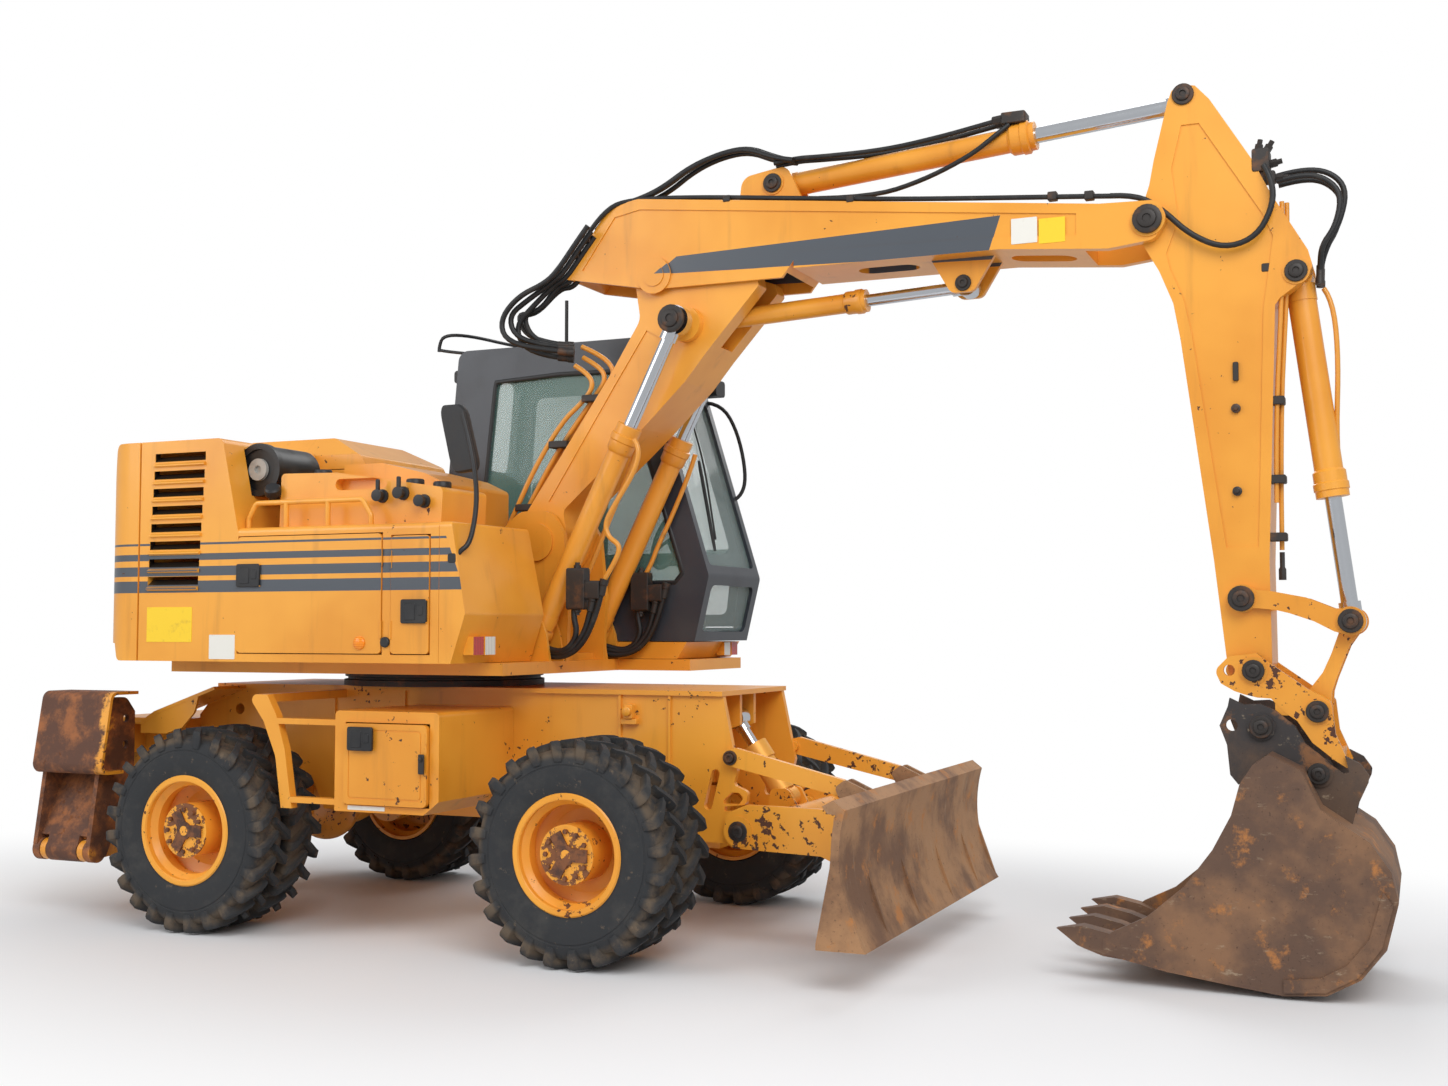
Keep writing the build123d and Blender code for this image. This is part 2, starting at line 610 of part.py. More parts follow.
# Right-hand bodywork: an engine bay with the louvred tower behind, doors in its side
bay_rear = -2690
tower_front = -2127
side_front = -740
edge_round = 28
louvre_count = 8
louvre_pitch = 96.5
louvre_first = 2590
louvre_rear = -2592
louvre_length = 352
louvre_shift = 5.5
louvre_open = 48
engine_door = (-2010, -1080, 1500, 2125)
cleaner_place = (-2030, 2500)
cleaner_radius = 135
service_opening = (-1030, -790, 1500, 2110)
with BuildPart() as body_right:
    side_solid(
        [(bay_rear, body_bottom + 2), (bay_rear, tower_top), (tower_front, tower_top), (-2016, body_top),
         (side_front, body_top), (side_front, body_bottom + 2)],
        -830, 780, rounds=[((tower_front, tower_top), 40)],
    )
    outer_edges = body_right.part.faces().sort_by(Axis.Y)[0].edges()
    fillet([edge for edge in outer_edges if abs(edge.center().Z - body_top) < 1], edge_round)
    side_solid(
        [(bay_rear + wall, body_bottom + wall), (bay_rear + wall, tower_top - wall),
         (tower_front - wall, tower_top - wall), (-2016 - wall, body_top - wall),
         (side_front - wall, body_top - wall), (side_front - wall, body_bottom + wall)],
        -790, 780, Mode.SUBTRACT,
    )
    box(engine_door[0], engine_door[1], -house_half - 1, -house_half + wall + 1, engine_door[2], engine_door[3],
        Mode.SUBTRACT)
    box(service_opening[0], service_opening[1], -house_half - 1, -house_half + wall + 1, service_opening[2],
        service_opening[3], Mode.SUBTRACT)
    cross_round(cleaner_place, cleaner_radius, -830, 380, Mode.SUBTRACT)
    cross_round(cleaner_place, cleaner_radius + 12, -1030, 60, Mode.SUBTRACT)
    # Louvres: slots through the tower's wall that slope down and outwards, each with a lip below
    for i in range(louvre_count):
        x_rear = louvre_rear - louvre_shift * i
        z_top = louvre_first - louvre_pitch * i
        slot_outline = [(-house_half - 2, z_top), (-house_half - 2, z_top - louvre_open),
                        (-house_half + wall + 2, z_top - 12), (-house_half + wall + 2, z_top + louvre_open - 12)]
        extrude(cross_profile(slot_outline, x_rear), amount=louvre_length, mode=Mode.SUBTRACT)
        lip_outline = [(-house_half + 2, z_top - louvre_open - 2), (-house_half - 16, z_top - louvre_open - 14),
                       (-house_half - 16, z_top - louvre_open - 20), (-house_half + 2, z_top - louvre_open - 28)]
        extrude(cross_profile(lip_outline, x_rear), amount=louvre_length)
save(body_right, "body_right")


def panel_door(x_low, x_high, y_outer, z_low, z_high, hinge_x, latch_x, latch_z):
    """A sheet door that stands a little proud, with hinge barrels on its turning line and a latch."""
    sign = 1 if y_outer > 0 else -1
    y_inner = y_outer - sign * wall
    with BuildSketch(side_plane((y_outer + y_inner) / 2)) as sheet:
        with Locations(((x_low + x_high) / 2, (z_low + z_high) / 2)):
            RectangleRounded(x_high - x_low, z_high - z_low, 22)
    extrude(sheet.sketch, amount=wall / 2, both=True)
    for share in (0.2, 0.8):
        with Locations((hinge_x, sign * (house_half + hinge_proud), z_low + share * (z_high - z_low))):
            Cylinder(hinge_radius, 90)
    low, high = outboard(sign, abs(y_outer) - 1, abs(y_outer) + 10)
    box(latch_x - 76, latch_x + 76, low, high, latch_z - 60, latch_z + 60)


door_proud = 6
with BuildPart() as engine_door_right:
    panel_door(-2005, -1085, -house_half - door_proud, 1505, 2120, -1085, -1930, 1915)
save(engine_door_right, "engine_door_right")
with BuildPart() as service_door:
    panel_door(-1025, -795, -house_half - door_proud, 1505, 2105, -1025, -880, 1720)
save(service_door, "service_door")

with BuildPart() as body_left:
    box(bay_rear, -1850, 450, house_half, body_bottom + 2, 2500)
    box(bay_rear + wall, -1850 - wall, 410, house_half - wall, body_bottom + wall, 2500 - wall, Mode.SUBTRACT)
    box(-2600, -1950, house_half - wall - 1, house_half + 1, 1520, 2400, Mode.SUBTRACT)
    fillet(body_left.part.edges().filter_by(Axis.X).sort_by(Axis.Z)[-2:].sort_by(Axis.Y)[-1:], edge_round)
save(body_left, "body_left")
with BuildPart() as engine_door_left:
    panel_door(-2595, -1955, house_half + door_proud, 1525, 2395, -1955, -2500, 1950)
save(engine_door_left, "engine_door_left")

# Engine housing between the two sides, open on top, with a lid that hinges at its front edge
lid_seam = 2552
lid_top = 2750
lid_front = -1762
housing_right = -435
housing_left = 411
housing_mid = (housing_right + housing_left) / 2
housing_width = housing_left - housing_right
with BuildPart() as engine_housing:
    box(bay_rear + 2, lid_front, housing_right, housing_left, body_bottom, lid_seam)
    box(bay_rear + 2 + wall, lid_front - wall, housing_right + wall, housing_left - wall,
        body_bottom - 1, lid_seam + 1, Mode.SUBTRACT)
save(engine_housing, "engine_housing")

lid_rear = bay_rear + 2
with BuildPart() as engine_hood:
    side_solid([(lid_rear, lid_seam + gap), (lid_rear, lid_top), (-2050, lid_top), (-1800, 2630),
                (lid_front, lid_seam + gap)], housing_mid, housing_width,
               rounds=[((lid_rear, lid_top), 40), ((-2050, lid_top), 60), ((-1800, 2630), 30)])
    # The lid's flanks lean in towards its top
    with BuildSketch(Plane.YZ.offset(lid_rear)) as flanks:
        with BuildLine():
            Polyline((housing_right, lid_seam), (housing_right, 2640), (housing_right + 90, lid_top),
                     (housing_left - 90, lid_top), (housing_left, 2640), (housing_left, lid_seam), close=True)
        make_face()
    extrude(flanks.sketch, amount=lid_front - lid_rear, mode=Mode.INTERSECT)
    side_solid([(lid_rear + wall, lid_seam), (lid_rear + wall, lid_top - wall), (-2060, lid_top - wall),
                (-1830, 2595), (lid_front - wall, lid_seam)],
               housing_mid, housing_width - 2 * wall - 120, Mode.SUBTRACT)
    for y_hinge in (-330, 306):
        cross_round((lid_front, lid_seam + gap), gap - 1, y_hinge, 80)
save(engine_hood, "engine_hood")

# Between the lid and the boom: the tank under its sloping cover, and the valve box beside it
tank_cover = [(-1755, 2172), (-1755, 2552), (-1498, 2552), (-1215, 2485), (-1072, 2420), (-1072, 2172)]
valve_cover = [(-1860, 2172), (-1850, 2468), (-1490, 2460), (-820, 2360), (-830, 2172)]
with BuildPart() as tank_hood:
    side_solid(tank_cover, -330, 640, rounds=[((-1755, 2552), 30), ((-1498, 2552), 60), ((-1215, 2485), 60),
                                              ((-1072, 2420), 30)])
    box(-1755, -1290, housing_right, -10, body_bottom, 2172)
    side_solid(valve_cover, -860, 420, rounds=[((-1850, 2468), 25), ((-1490, 2460), 40), ((-820, 2360), 30)])
    with BuildSketch(side_plane(-1070)) as valve_slot:
        with Locations((-1330, 2395)):
            SlotOverall(330, 60)
    extrude(valve_slot.sketch, amount=-60, mode=Mode.SUBTRACT)
    for x_cap, radius in ((-1720, 42), (-1120, 38), (-950, 44)):
        with Locations((x_cap, -880, 2440 - 0.12 * (x_cap + 1720))):
            Cylinder(radius, 90)
save(tank_hood, "tank_hood")

# Air cleaner: a drum that pokes forward and outward from the tower, with its dished cover
with BuildPart() as air_cleaner:
    cross_round(cleaner_place, cleaner_radius, -850, 340)
    cross_round(cleaner_place, cleaner_radius + 10, -1025, 40)
    cross_round(cleaner_place, cleaner_radius - 23, -1045, 24, Mode.SUBTRACT)
    cross_round(cleaner_place, 60, -1038, 26)
    cross_round(cleaner_place, 22, -1045, 20, Mode.SUBTRACT)
save(air_cleaner, "air_cleaner")

with BuildPart() as engine_block:
    box(-2600, -1900, -350, 350, 1475, 2150)
save(engine_block, "engine_block")

# Corner module ahead of the side: its front face breaks forward at a knee above the lamps
corner_outline = [(-738, body_bottom + 2), (-738, 2172), (-668, 2172), (-584, 1707), (-668, body_bottom + 2)]
with BuildPart() as corner_module:
    side_solid(corner_outline, -830, 780, rounds=[((-584, 1707), 30), ((-668, 2172), 20)])
    with BuildSketch(Plane.YZ.offset(-738)) as module_front:
        with BuildLine():
            Polyline((-1220, body_bottom), (-1220, 2172), (-470, 2172), (-440, 1700), (-440, body_bottom), close=True)
        make_face()
        fillet(module_front.vertices().sort_by_distance(Vector(-1220, 2172, 0))[0], edge_round)
    extrude(module_front.sketch, amount=200, mode=Mode.INTERSECT)
save(corner_module, "corner_module")

cab_base_outline = [(-1700, 1457), (-1700, 1555), (-130, 1555), (-190, 1457)]
with BuildPart() as cab_base:
    side_solid(cab_base_outline, 810, 780, rounds=[((-190, 1457), 15)])
save(cab_base, "cab_base")

lamp_depth = 60
lamp_height = 92
with BuildPart() as lamps:
    for y_low in (-1130, -1020):
        box(-650, -590, y_low, y_low + 96, 1500, 1500 + lamp_height)
    for y_low in (940, 1050):
        box(-170, -118, y_low, y_low + 90, 1472, 1550)
    side_solid(corner_outline, -830, 780, Mode.SUBTRACT)
    side_solid(cab_base_outline, 810, 780, Mode.SUBTRACT)
save(lamps, "lamps")

# Cab: floor, roof and walls of one thickness, windows with rounded corners cut through
cab_outline = [
    (-1770, cab_floor), (-1770, 2540), (-1697, cab_roof), (-470, cab_roof), (-350, 3100),
    (10, 1940), (-80, cab_floor),
]
cab_rounds = [((-1697, cab_roof), 70), ((-470, cab_roof), 60), ((-350, 3100), 60), ((10, 1940), 60),
              ((-1770, cab_floor), 40)]
cab_inner = [
    (-1770 + cab_wall, cab_floor + cab_wall), (-1770 + cab_wall, 2540), (-1650, cab_roof - 60),
    (-500, cab_roof - 60), (-400, 3090), (-45, 1940), (-120, cab_floor + cab_wall),
]
cab_mid = (cab_left + cab_right) / 2
cab_width = cab_left - cab_right
right_window = [(-1490, 2200), (-1500, 2500), (-1430, 3160), (-560, 3170), (-150, 1960), (-200, 1900), (-1480, 1900)]
rear_quarter = [(-1640, 2480), (-1590, 3160), (-1180, 3160), (-1180, 2480)]
door_opening = [(-1130, 1640), (-1130, 3200), (-430, 3200), (-90, 2060), (-150, 1640)]
window_round = 70
pane = 6
pane_gap = 1


def tilted_window(low, high, inset):
    """A plane on the middle of a sloping wall of the cab, and the wall's length up the slope."""
    run = hypot(high[0] - low[0], high[1] - low[1])
    up = ((high[0] - low[0]) / run, (high[1] - low[1]) / run)
    middle = ((low[0] + high[0]) / 2 + up[1] * -inset, (low[1] + high[1]) / 2 + up[0] * inset)
    return Plane(origin=(middle[0], cab_mid, middle[1]), x_dir=(0, 1, 0), z_dir=(up[1], 0, -up[0])), run


windscreen_plane, windscreen_run = tilted_window((10, 1940), (-350, 3100), 25)
footlight_plane, footlight_run = tilted_window((-80, cab_floor), (10, 1940), 25)
rear_plane, rear_run = tilted_window((-1770, 2540), (-1697, cab_roof), -25)
sloping_windows = (
    (windscreen_plane, cab_width - 110, windscreen_run - 130, 40),
    (footlight_plane, cab_width - 150, footlight_run - 110, 40),
    (rear_plane, cab_width - 200, rear_run - 230, 60),
)
with BuildPart() as cab_shell:
    side_solid(cab_outline, cab_mid, cab_width, rounds=cab_rounds)
    side_solid(cab_inner, cab_mid, cab_width - 2 * cab_wall, Mode.SUBTRACT)
    side_solid(right_window, cab_right + cab_wall / 2, cab_wall + 10, Mode.SUBTRACT,
               [((-1430, 3160), window_round), ((-560, 3170), window_round), ((-1480, 1900), window_round)])
    side_solid(rear_quarter, cab_left - cab_wall / 2, cab_wall + 10, Mode.SUBTRACT,
               [(spot, 50) for spot in rear_quarter])
    side_solid(door_opening, cab_left - cab_wall / 2, cab_wall + 10, Mode.SUBTRACT)
    for plane, width, height, corner in sloping_windows:
        with BuildSketch(plane) as opening:
            RectangleRounded(width, height, corner)
        extrude(opening.sketch, amount=60, both=True, mode=Mode.SUBTRACT)
    # Roof hatch rim, the bracket of the working lamp and the rear marker
    with Locations((-1050, cab_mid, cab_roof + 8)):
        Box(560, 420, 20)
    box(-480, -420, cab_left - 120, cab_left - 60, cab_roof - 4, cab_roof + 30)
save(cab_shell, "cab_shell")

with BuildPart() as cab_glass:
    with BuildSketch(side_plane(cab_right + 20)) as side_pane:
        with BuildLine():
            Polyline(*right_window, close=True)
        make_face()
        offset(amount=-pane_gap, mode=Mode.REPLACE)
        for spot in ((-1430, 3160), (-560, 3170), (-1480, 1900)):
            fillet(side_pane.vertices().sort_by_distance(Vector(*spot, 0))[0], window_round - pane_gap)
    extrude(side_pane.sketch, amount=pane / 2, both=True)
    with BuildSketch(side_plane(cab_left - 20)) as quarter_pane:
        with BuildLine():
            Polyline(*rear_quarter, close=True)
        make_face()
        offset(amount=-pane_gap, mode=Mode.REPLACE)
        fillet(quarter_pane.vertices(), 50)
    extrude(quarter_pane.sketch, amount=pane / 2, both=True)
    for plane, width, height, corner in sloping_windows:
        with BuildSketch(plane) as sheet:
            RectangleRounded(width - 2 * pane_gap, height - 2 * pane_gap, corner - pane_gap)
        extrude(sheet.sketch, amount=pane / 2, both=True)
save(cab_glass, "cab_glass")

door_outline = [(-1125, 1645), (-1125, 3195), (-435, 3195), (-95, 2060), (-155, 1645)]
door_window = [(-1070, 2100), (-1070, 3130), (-480, 3130), (-170, 2100)]
door_low_window = [(-1070, 1720), (-1070, 2030), (-165, 2030), (-200, 1720)]
door_mid = cab_left - 22
with BuildPart() as cab_door:
    side_solid(door_outline, door_mid, 44)
    for window in (door_window, door_low_window):
        side_solid(window, door_mid, 50, Mode.SUBTRACT, [(spot, 45) for spot in window])
        with BuildSketch(side_plane(door_mid)) as door_pane:
            with BuildLine():
                Polyline(*window, close=True)
            make_face()
            offset(amount=3, mode=Mode.REPLACE)
        extrude(door_pane.sketch, amount=pane / 2, both=True)
    for z_hinge in (1800, 2500, 3100):
        with Locations((-1127, cab_left + hinge_proud, z_hinge)):
            Cylinder(hinge_radius, 80)
    box(-330, -210, cab_left - 2, cab_left + 24, 2050, 2080)
save(cab_door, "cab_door")

with BuildPart() as cab_seat:
    with BuildSketch(Plane.XY.offset(1900)) as cushion:
        with Locations((-1000, 805)):
            RectangleRounded(500, 490, 70)
    extrude(cushion.sketch, amount=120)
    side_solid([(-1300, 2020), (-1360, 2600), (-1270, 2655), (-1190, 2580), (-1170, 2020)], 805, 450,
               rounds=[((-1360, 2600), 40), ((-1270, 2655), 40)])
    box(-1150, -850, 650, 950, cab_floor + cab_wall, 1900)
save(cab_seat, "cab_seat")

# Tube work on the body: the handrail beside the hoods
rail_radius = 14
rail_y = -1150
with BuildPart() as handrail:
    with BuildLine() as rail_path:
        FilletPolyline(
            (-2000, rail_y, body_top), (-2000, rail_y, 2220), (-1950, rail_y, 2305), (-1260, rail_y, 2305),
            (-1205, rail_y, 2220), (-1205, rail_y, body_top), radius=30
        )
    with BuildSketch(Plane(origin=rail_path.line @ 0, z_dir=rail_path.line % 0)) as rail_section:
        Circle(rail_radius)
    sweep(rail_section.sketch, path=rail_path.line)
    for x_post in (-1750, -1480):
        with Locations((x_post, rail_y, (body_top + 2305) / 2)):
            Cylinder(rail_radius, 2305 - body_top)
save(handrail, "handrail")

# Lower boom: a box that widens upwards from its foot and forks at its head
lower_outline = [
    (-905, 2200), (-308, 3047), (-130, 3330), (-165, 3560), (-90, 3690), (60, 3690), (300, 3610), (560, 3520),
    (574, 3462), (268, 3123), (139, 2969), (-112, 2729), (-610, 2290), (-590, 2180), (-700, 1965), (-860, 1990),
]
lower_rounds = [((-905, 2200), 80), ((-308, 3047), 200), ((-130, 3330), 100), ((-165, 3560), 90), ((-90, 3690), 60),
                ((60, 3690), 60), ((574, 3462), 20), ((-610, 2290), 50), ((-590, 2180), 50), ((-700, 1965), 70),
                ((-860, 1990), 70)]
lower_web = [(-740, 2330), (-308, 2990), (-100, 3300), (120, 3180), (90, 2960), (-150, 2740), (-640, 2300)]
with BuildPart() as lower_boom:
    side_solid(lower_outline, 0, 2 * boom_half, rounds=lower_rounds)
    webbed(lower_web, boom_half)
    side_solid([(90, 3235), (90, 3800), (800, 3800), (800, 2850), (190, 3235)], 0, 150, Mode.SUBTRACT)
    for sign in (-1, 1):
        cross_round(lift_head, 95, sign * (boom_half + 20), 60)
        cross_round(boom_foot, 120, sign * (boom_half - 1), 6)
    cross_round(adjust_foot, 32, 0, 220)
    cross_round(boom_foot, 55 + fit, 0, 2 * boom_half + 10, Mode.SUBTRACT)
    cross_round(boom_hinge, 60 + fit, 0, 2 * boom_half + 10, Mode.SUBTRACT)
save(lower_boom, "lower_boom")

# Upper boom: hooked over the lower one at its rear, forked round the stick at its front
upper_outline = [
    (-593, 3589), (-304, 3974), (-130, 3995), (2379, 3700), (2660, 3690), (2700, 3600), (2640, 3500),
    (2419, 3475), (1881, 3523), (785, 3529), (785, 3569), (719, 3485), (-36, 3485),
]
upper_rounds = [((-593, 3589), 15), ((-304, 3974), 60), ((2379, 3700), 60), ((2660, 3690), 60), ((2700, 3600), 60),
                ((2640, 3500), 60), ((-36, 3485), 40)]
upper_web = [(-520, 3610), (-290, 3930), (-120, 3960), (2290, 3685), (2290, 3530), (1881, 3560), (800, 3590),
             (700, 3520), (-36, 3530)]
slot_half = 70
with BuildPart() as upper_boom:
    side_solid(upper_outline, 0, 2 * upper_boom_half, rounds=upper_rounds)
    side_solid([(-640, 3500), (-540, 3600), (-290, 3930), (-120, 3965), (740, 3870), (740, 3400), (-36, 3400)],
               0, 2 * (upper_boom_half - plate), Mode.SUBTRACT)
    webbed(upper_web, upper_boom_half)
    box(2300, 2800, -stick_half - gap, stick_half + gap, 3300, 4100, Mode.SUBTRACT)
    # Oval slots in the underside, one behind the adjusting cylinder's bracket and one ahead
    with BuildSketch(Plane.XY.offset(3450)) as slots:
        with Locations((1240, 0), (2060, 0)):
            SlotOverall(330, 2 * slot_half)
    extrude(slots.sketch, amount=150, mode=Mode.SUBTRACT)
    cross_round(boom_hinge, 60, 0, 2 * upper_boom_half + 30)
    cross_round(boom_hinge, 100, upper_boom_half + 3, 12)
    cross_round(boom_hinge, 100, -upper_boom_half - 3, 12)
    for y_ear in (-85, 85):
        side_solid([(1480, 3560), (1600, 3350), (1720, 3350), (1850, 3560)], y_ear, 30,
                   rounds=[((1600, 3350), 45), ((1720, 3350), 45)])
        side_solid([(420, 3900), (440, 4080), (700, 4120), (800, 3900)], y_ear, 30,
                   rounds=[((440, 4080), 70), ((700, 4120), 60)])
    cross_round(stick_cylinder_foot, 34, 0, 200)
    cross_round(stick_pivot, 50, 0, 2 * upper_boom_half + 40)
    for sign in (-1, 1):
        cross_round(stick_pivot, 82, sign * (upper_boom_half + 4), 10)
        cross_round(stick_cylinder_foot, 62, sign * 102, 8)
save(upper_boom, "upper_boom")

# Stick: deepest at its pivot, with a forked head for its cylinder and a bracket for the bucket's
stick_outline = [
    (2701, 4176), (2722, 4230), (2769, 4254), (2831, 4241), (2896, 4167), (3090, 3845), (3156, 3705), (3191, 3638),
    (3328, 3395), (3350, 3309), (3270, 3230), (3200, 3180), (3178, 3147), (3133, 1951), (3137, 1472), (3110, 1370),
    (3010, 1350), (2942, 1420), (2884, 1955), (2746, 3018), (2715, 3193), (2651, 3355), (2569, 3503), (2550, 3600),
    (2610, 3779), (2633, 3899),
]
stick_rounds = [((3350, 3309), 50), ((3270, 3230), 30), ((3110, 1370), 30), ((3010, 1350), 40),
                ((2942, 1420), 30), ((2550, 3600), 60)]
stick_web = [(2745, 4080), (2860, 4080), (3150, 3600), (3200, 3480), (3150, 3130), (3110, 1990), (2920, 1990),
             (2775, 3030), (2740, 3200), (2680, 3350), (2660, 3440), (2720, 3600), (2690, 3850)]
with BuildPart() as stick:
    side_solid(stick_outline, 0, 2 * stick_half, rounds=stick_rounds)
    webbed(stick_web, stick_half)
    box(2600, 3000, -70, 70, 4050, 4400, Mode.SUBTRACT)
    side_solid([(3195, 3640), (3420, 3500), (3420, 3100), (3180, 3150)], 0, 140, Mode.SUBTRACT)
    cross_round(bucket_cylinder_foot, 34, 0, 200)
    cross_round(rocker_pivot, 36, 0, 2 * stick_half + 90)
    for sign in (-1, 1):
        cross_round(rocker_pivot, 70, sign * (stick_half - 1), 8)
        cross_round(bucket_cylinder_foot, 62, sign * (stick_half + 1), 10)
    cross_round(stick_pivot, 50 + fit, 0, 2 * stick_half + 10, Mode.SUBTRACT)
    cross_round(bucket_pivot, 40 + fit, 0, 2 * stick_half + 10, Mode.SUBTRACT)
save(stick, "stick")

# Rocker: two curved plates with a boss at each end, outside the stick
rocker_mid = stick_half + 22
rocker_outline = [(2960, 1722), (3009, 1848), (3075, 1812), (3133, 1808), (3292, 1776), (3412, 1726), (3482, 1722),
                  (3540, 1662), (3473, 1602), (3410, 1620), (3325, 1666), (3218, 1704), (3153, 1720), (3073, 1728)]
rocker_boss = 66
with BuildPart() as rocker:
    for sign in (-1, 1):
        side_solid(rocker_outline, sign * rocker_mid, 26,
                   rounds=[((3009, 1848), 35), ((3540, 1662), 30), ((3473, 1602), 30), ((2960, 1722), 30)])
        for pin in (rocker_pivot, rocker_pin):
            cross_round(pin, rocker_boss, sign * rocker_mid, 34)
        cross_round(rocker_pivot, 36 + fit, sign * rocker_mid, 40, Mode.SUBTRACT)
        cross_round(rocker_pin, 38, sign * 157, 112)
save(rocker, "rocker")

# Link: bowed plates from the rocker down to the coupler, with a boss at the top
link_outline = [(3506, 1605), (3470, 1552), (3411, 1401), (3392, 1340), (3385, 1240), (3333, 1196), (3280, 1240),
                (3296, 1354), (3354, 1431), (3391, 1514), (3425, 1610), (3425, 1690), (3530, 1700)]
with BuildPart() as link:
    for sign in (-1, 1):
        side_solid(link_outline, sign * 115, 30,
                   rounds=[((3385, 1240), 40), ((3333, 1196), 30), ((3280, 1240), 40)])
        cross_round(rocker_pin, 62, sign * 115, 30)
        cross_round(rocker_pin, 38 + fit, sign * 115, 40, Mode.SUBTRACT)
    cross_round(coupler_pin, 30, 0, 250)
save(link, "link")

# Bucket: a rolled shell between two side plates, with teeth on its lip
bucket_outline = [
    (3138, 1073), (3275, 1005), (3350, 839), (3551, 706), (3635, 582), (3661, 449), (3611, 250), (3505, 113),
    (3364, 33), (3186, 17), (2944, 46), (2683, 81), (2479, 122), (2395, 142), (2400, 205), (2440, 240),
    (2597, 319), (2764, 465), (2892, 639), (2975, 797), (3014, 939), (3070, 1024),
]
bucket_inner = [
    (3120, 960), (3250, 900), (3310, 810), (3490, 690), (3575, 570), (3605, 449), (3565, 275), (3475, 160),
    (3345, 80), (3186, 62), (2950, 88), (2690, 124), (2485, 166), (2380, 180), (2380, 330), (2700, 1000),
]
shell_thick = 28
tooth_places = (-432, -144, 144, 432)
tooth_half = 44
tooth_outline = [(2180, 236), (2300, 258), (2430, 232), (2520, 200), (2520, 116), (2400, 128), (2280, 168)]
with BuildPart() as bucket:
    side_solid(bucket_outline, 0, 2 * bucket_half)
    side_solid(bucket_inner, 0, 2 * (bucket_half - shell_thick), Mode.SUBTRACT)
    for y_tooth in tooth_places:
        side_solid(tooth_outline, y_tooth, 2 * tooth_half)
        with BuildSketch(Plane.XY.offset(100)) as tooth_plan:
            with BuildLine():
                Polyline((2180, y_tooth - 18), (2320, y_tooth - tooth_half - 1), (2180, y_tooth - tooth_half - 1),
                         close=True)
            make_face()
            with BuildLine():
                Polyline((2180, y_tooth + 18), (2320, y_tooth + tooth_half + 1), (2180, y_tooth + tooth_half + 1),
                         close=True)
            make_face()
        extrude(tooth_plan.sketch, amount=200, mode=Mode.SUBTRACT)
    # Wear plates low on the outside of each side plate
    for sign in (-1, 1):
        side_solid([(3600, 500), (3640, 440), (3590, 255), (3495, 125), (3360, 48), (3186, 32), (3186, 90),
                    (3340, 110), (3450, 175), (3540, 290)], sign * (bucket_half + 5), 12)
save(bucket, "bucket")

# Adapter: the dark lower half of the coupling, two plates that stand on the bucket's back
adapter_half = 250
adapter_thick = 34
adapter_outline = [
    (2906, 1184), (2944, 1273), (2952, 1312), (3014, 1282), (3088, 1287), (3153, 1258), (3238, 1188), (3279, 1110),
    (3335, 1066), (3384, 1019), (3439, 980), (3464, 988), (3448, 1059), (3510, 1027), (3547, 973), (3543, 943),
    (3492, 830), (3470, 740), (3379, 766), (3338, 815), (3270, 970), (3142, 1049), (3106, 1055), (2986, 914),
    (2950, 959), (2938, 1096),
]
adapter_pins = ((3091, 1182), (3335, 978))
adapter_eye = (2960, 1186)
with BuildPart() as adapter:
    for sign in (-1, 1):
        side_solid(adapter_outline, sign * (adapter_half - adapter_thick / 2), adapter_thick,
                   rounds=[((3510, 1027), 12), ((3547, 973), 20)])
        for pin in adapter_pins:
            cross_round(pin, 62, sign * (adapter_half - 10), 40)
    for pin in adapter_pins:
        cross_round(pin, 38, 0, 2 * adapter_half + 30)
    cross_round(adapter_eye, 27, 0, 2 * adapter_half + 10, Mode.SUBTRACT)
    side_solid(bucket_outline, 0, 2 * bucket_half, Mode.SUBTRACT)
save(adapter, "adapter")

# Coupler: the upper half, two hooked plates inside the adapter's, held on the stick and link
coupler_outer = adapter_half - adapter_thick
coupler_thick = 36
coupler_outline = [
    (2948, 1504), (3018, 1512), (3070, 1520), (3142, 1464), (3295, 1355), (3354, 1326), (3393, 1300), (3408, 1155),
    (3465, 1018), (3454, 1003), (3405, 1035), (3308, 1114), (3245, 1211), (3196, 1244), (3132, 1311), (3074, 1314),
    (3015, 1328), (2971, 1343), (2912, 1377), (2884, 1438),
]
coupler_eye = (2949, 1439)
with BuildPart() as coupler:
    for sign in (-1, 1):
        side_solid(coupler_outline, sign * (coupler_outer - coupler_thick / 2), coupler_thick,
                   rounds=[((2884, 1438), 40), ((2948, 1504), 30), ((3393, 1300), 30), ((3465, 1018), 8)])
        cross_round(coupler_pin, 58, sign * (coupler_outer - 12), 36)
        cross_round(bucket_pivot, 64, sign * (coupler_outer - 12), 36)
    cross_round(bucket_pivot, 40, 0, 2 * coupler_outer + 30)
    box(3150, 3250, -coupler_outer + 2, coupler_outer - 2, 1235, 1325)
    box(3390, 3440, -coupler_outer + 2, coupler_outer - 2, 1040, 1080)
    cross_round(coupler_eye, 26, 0, 2 * coupler_outer + 10, Mode.SUBTRACT)
    cross_round(adapter_pins[0], 38, 0, 2 * coupler_outer + 10, Mode.SUBTRACT)
    cross_round(adapter_pins[1], 38, 0, 2 * coupler_outer + 10, Mode.SUBTRACT)
save(coupler, "coupler")

# Cylinders of the front equipment
with BuildPart() as lift_barrels:
    for sign in (-1, 1):
        barrel(lift_foot, lift_head, sign * lift_y, 60, 1240, 38, 62, 70, 40)
save(lift_barrels, "lift_barrels")
with BuildPart() as lift_rods:
    for sign in (-1, 1):
        rod(lift_foot, lift_head, sign * lift_y, 38, 620, 80, 60)
save(lift_rods, "lift_rods")

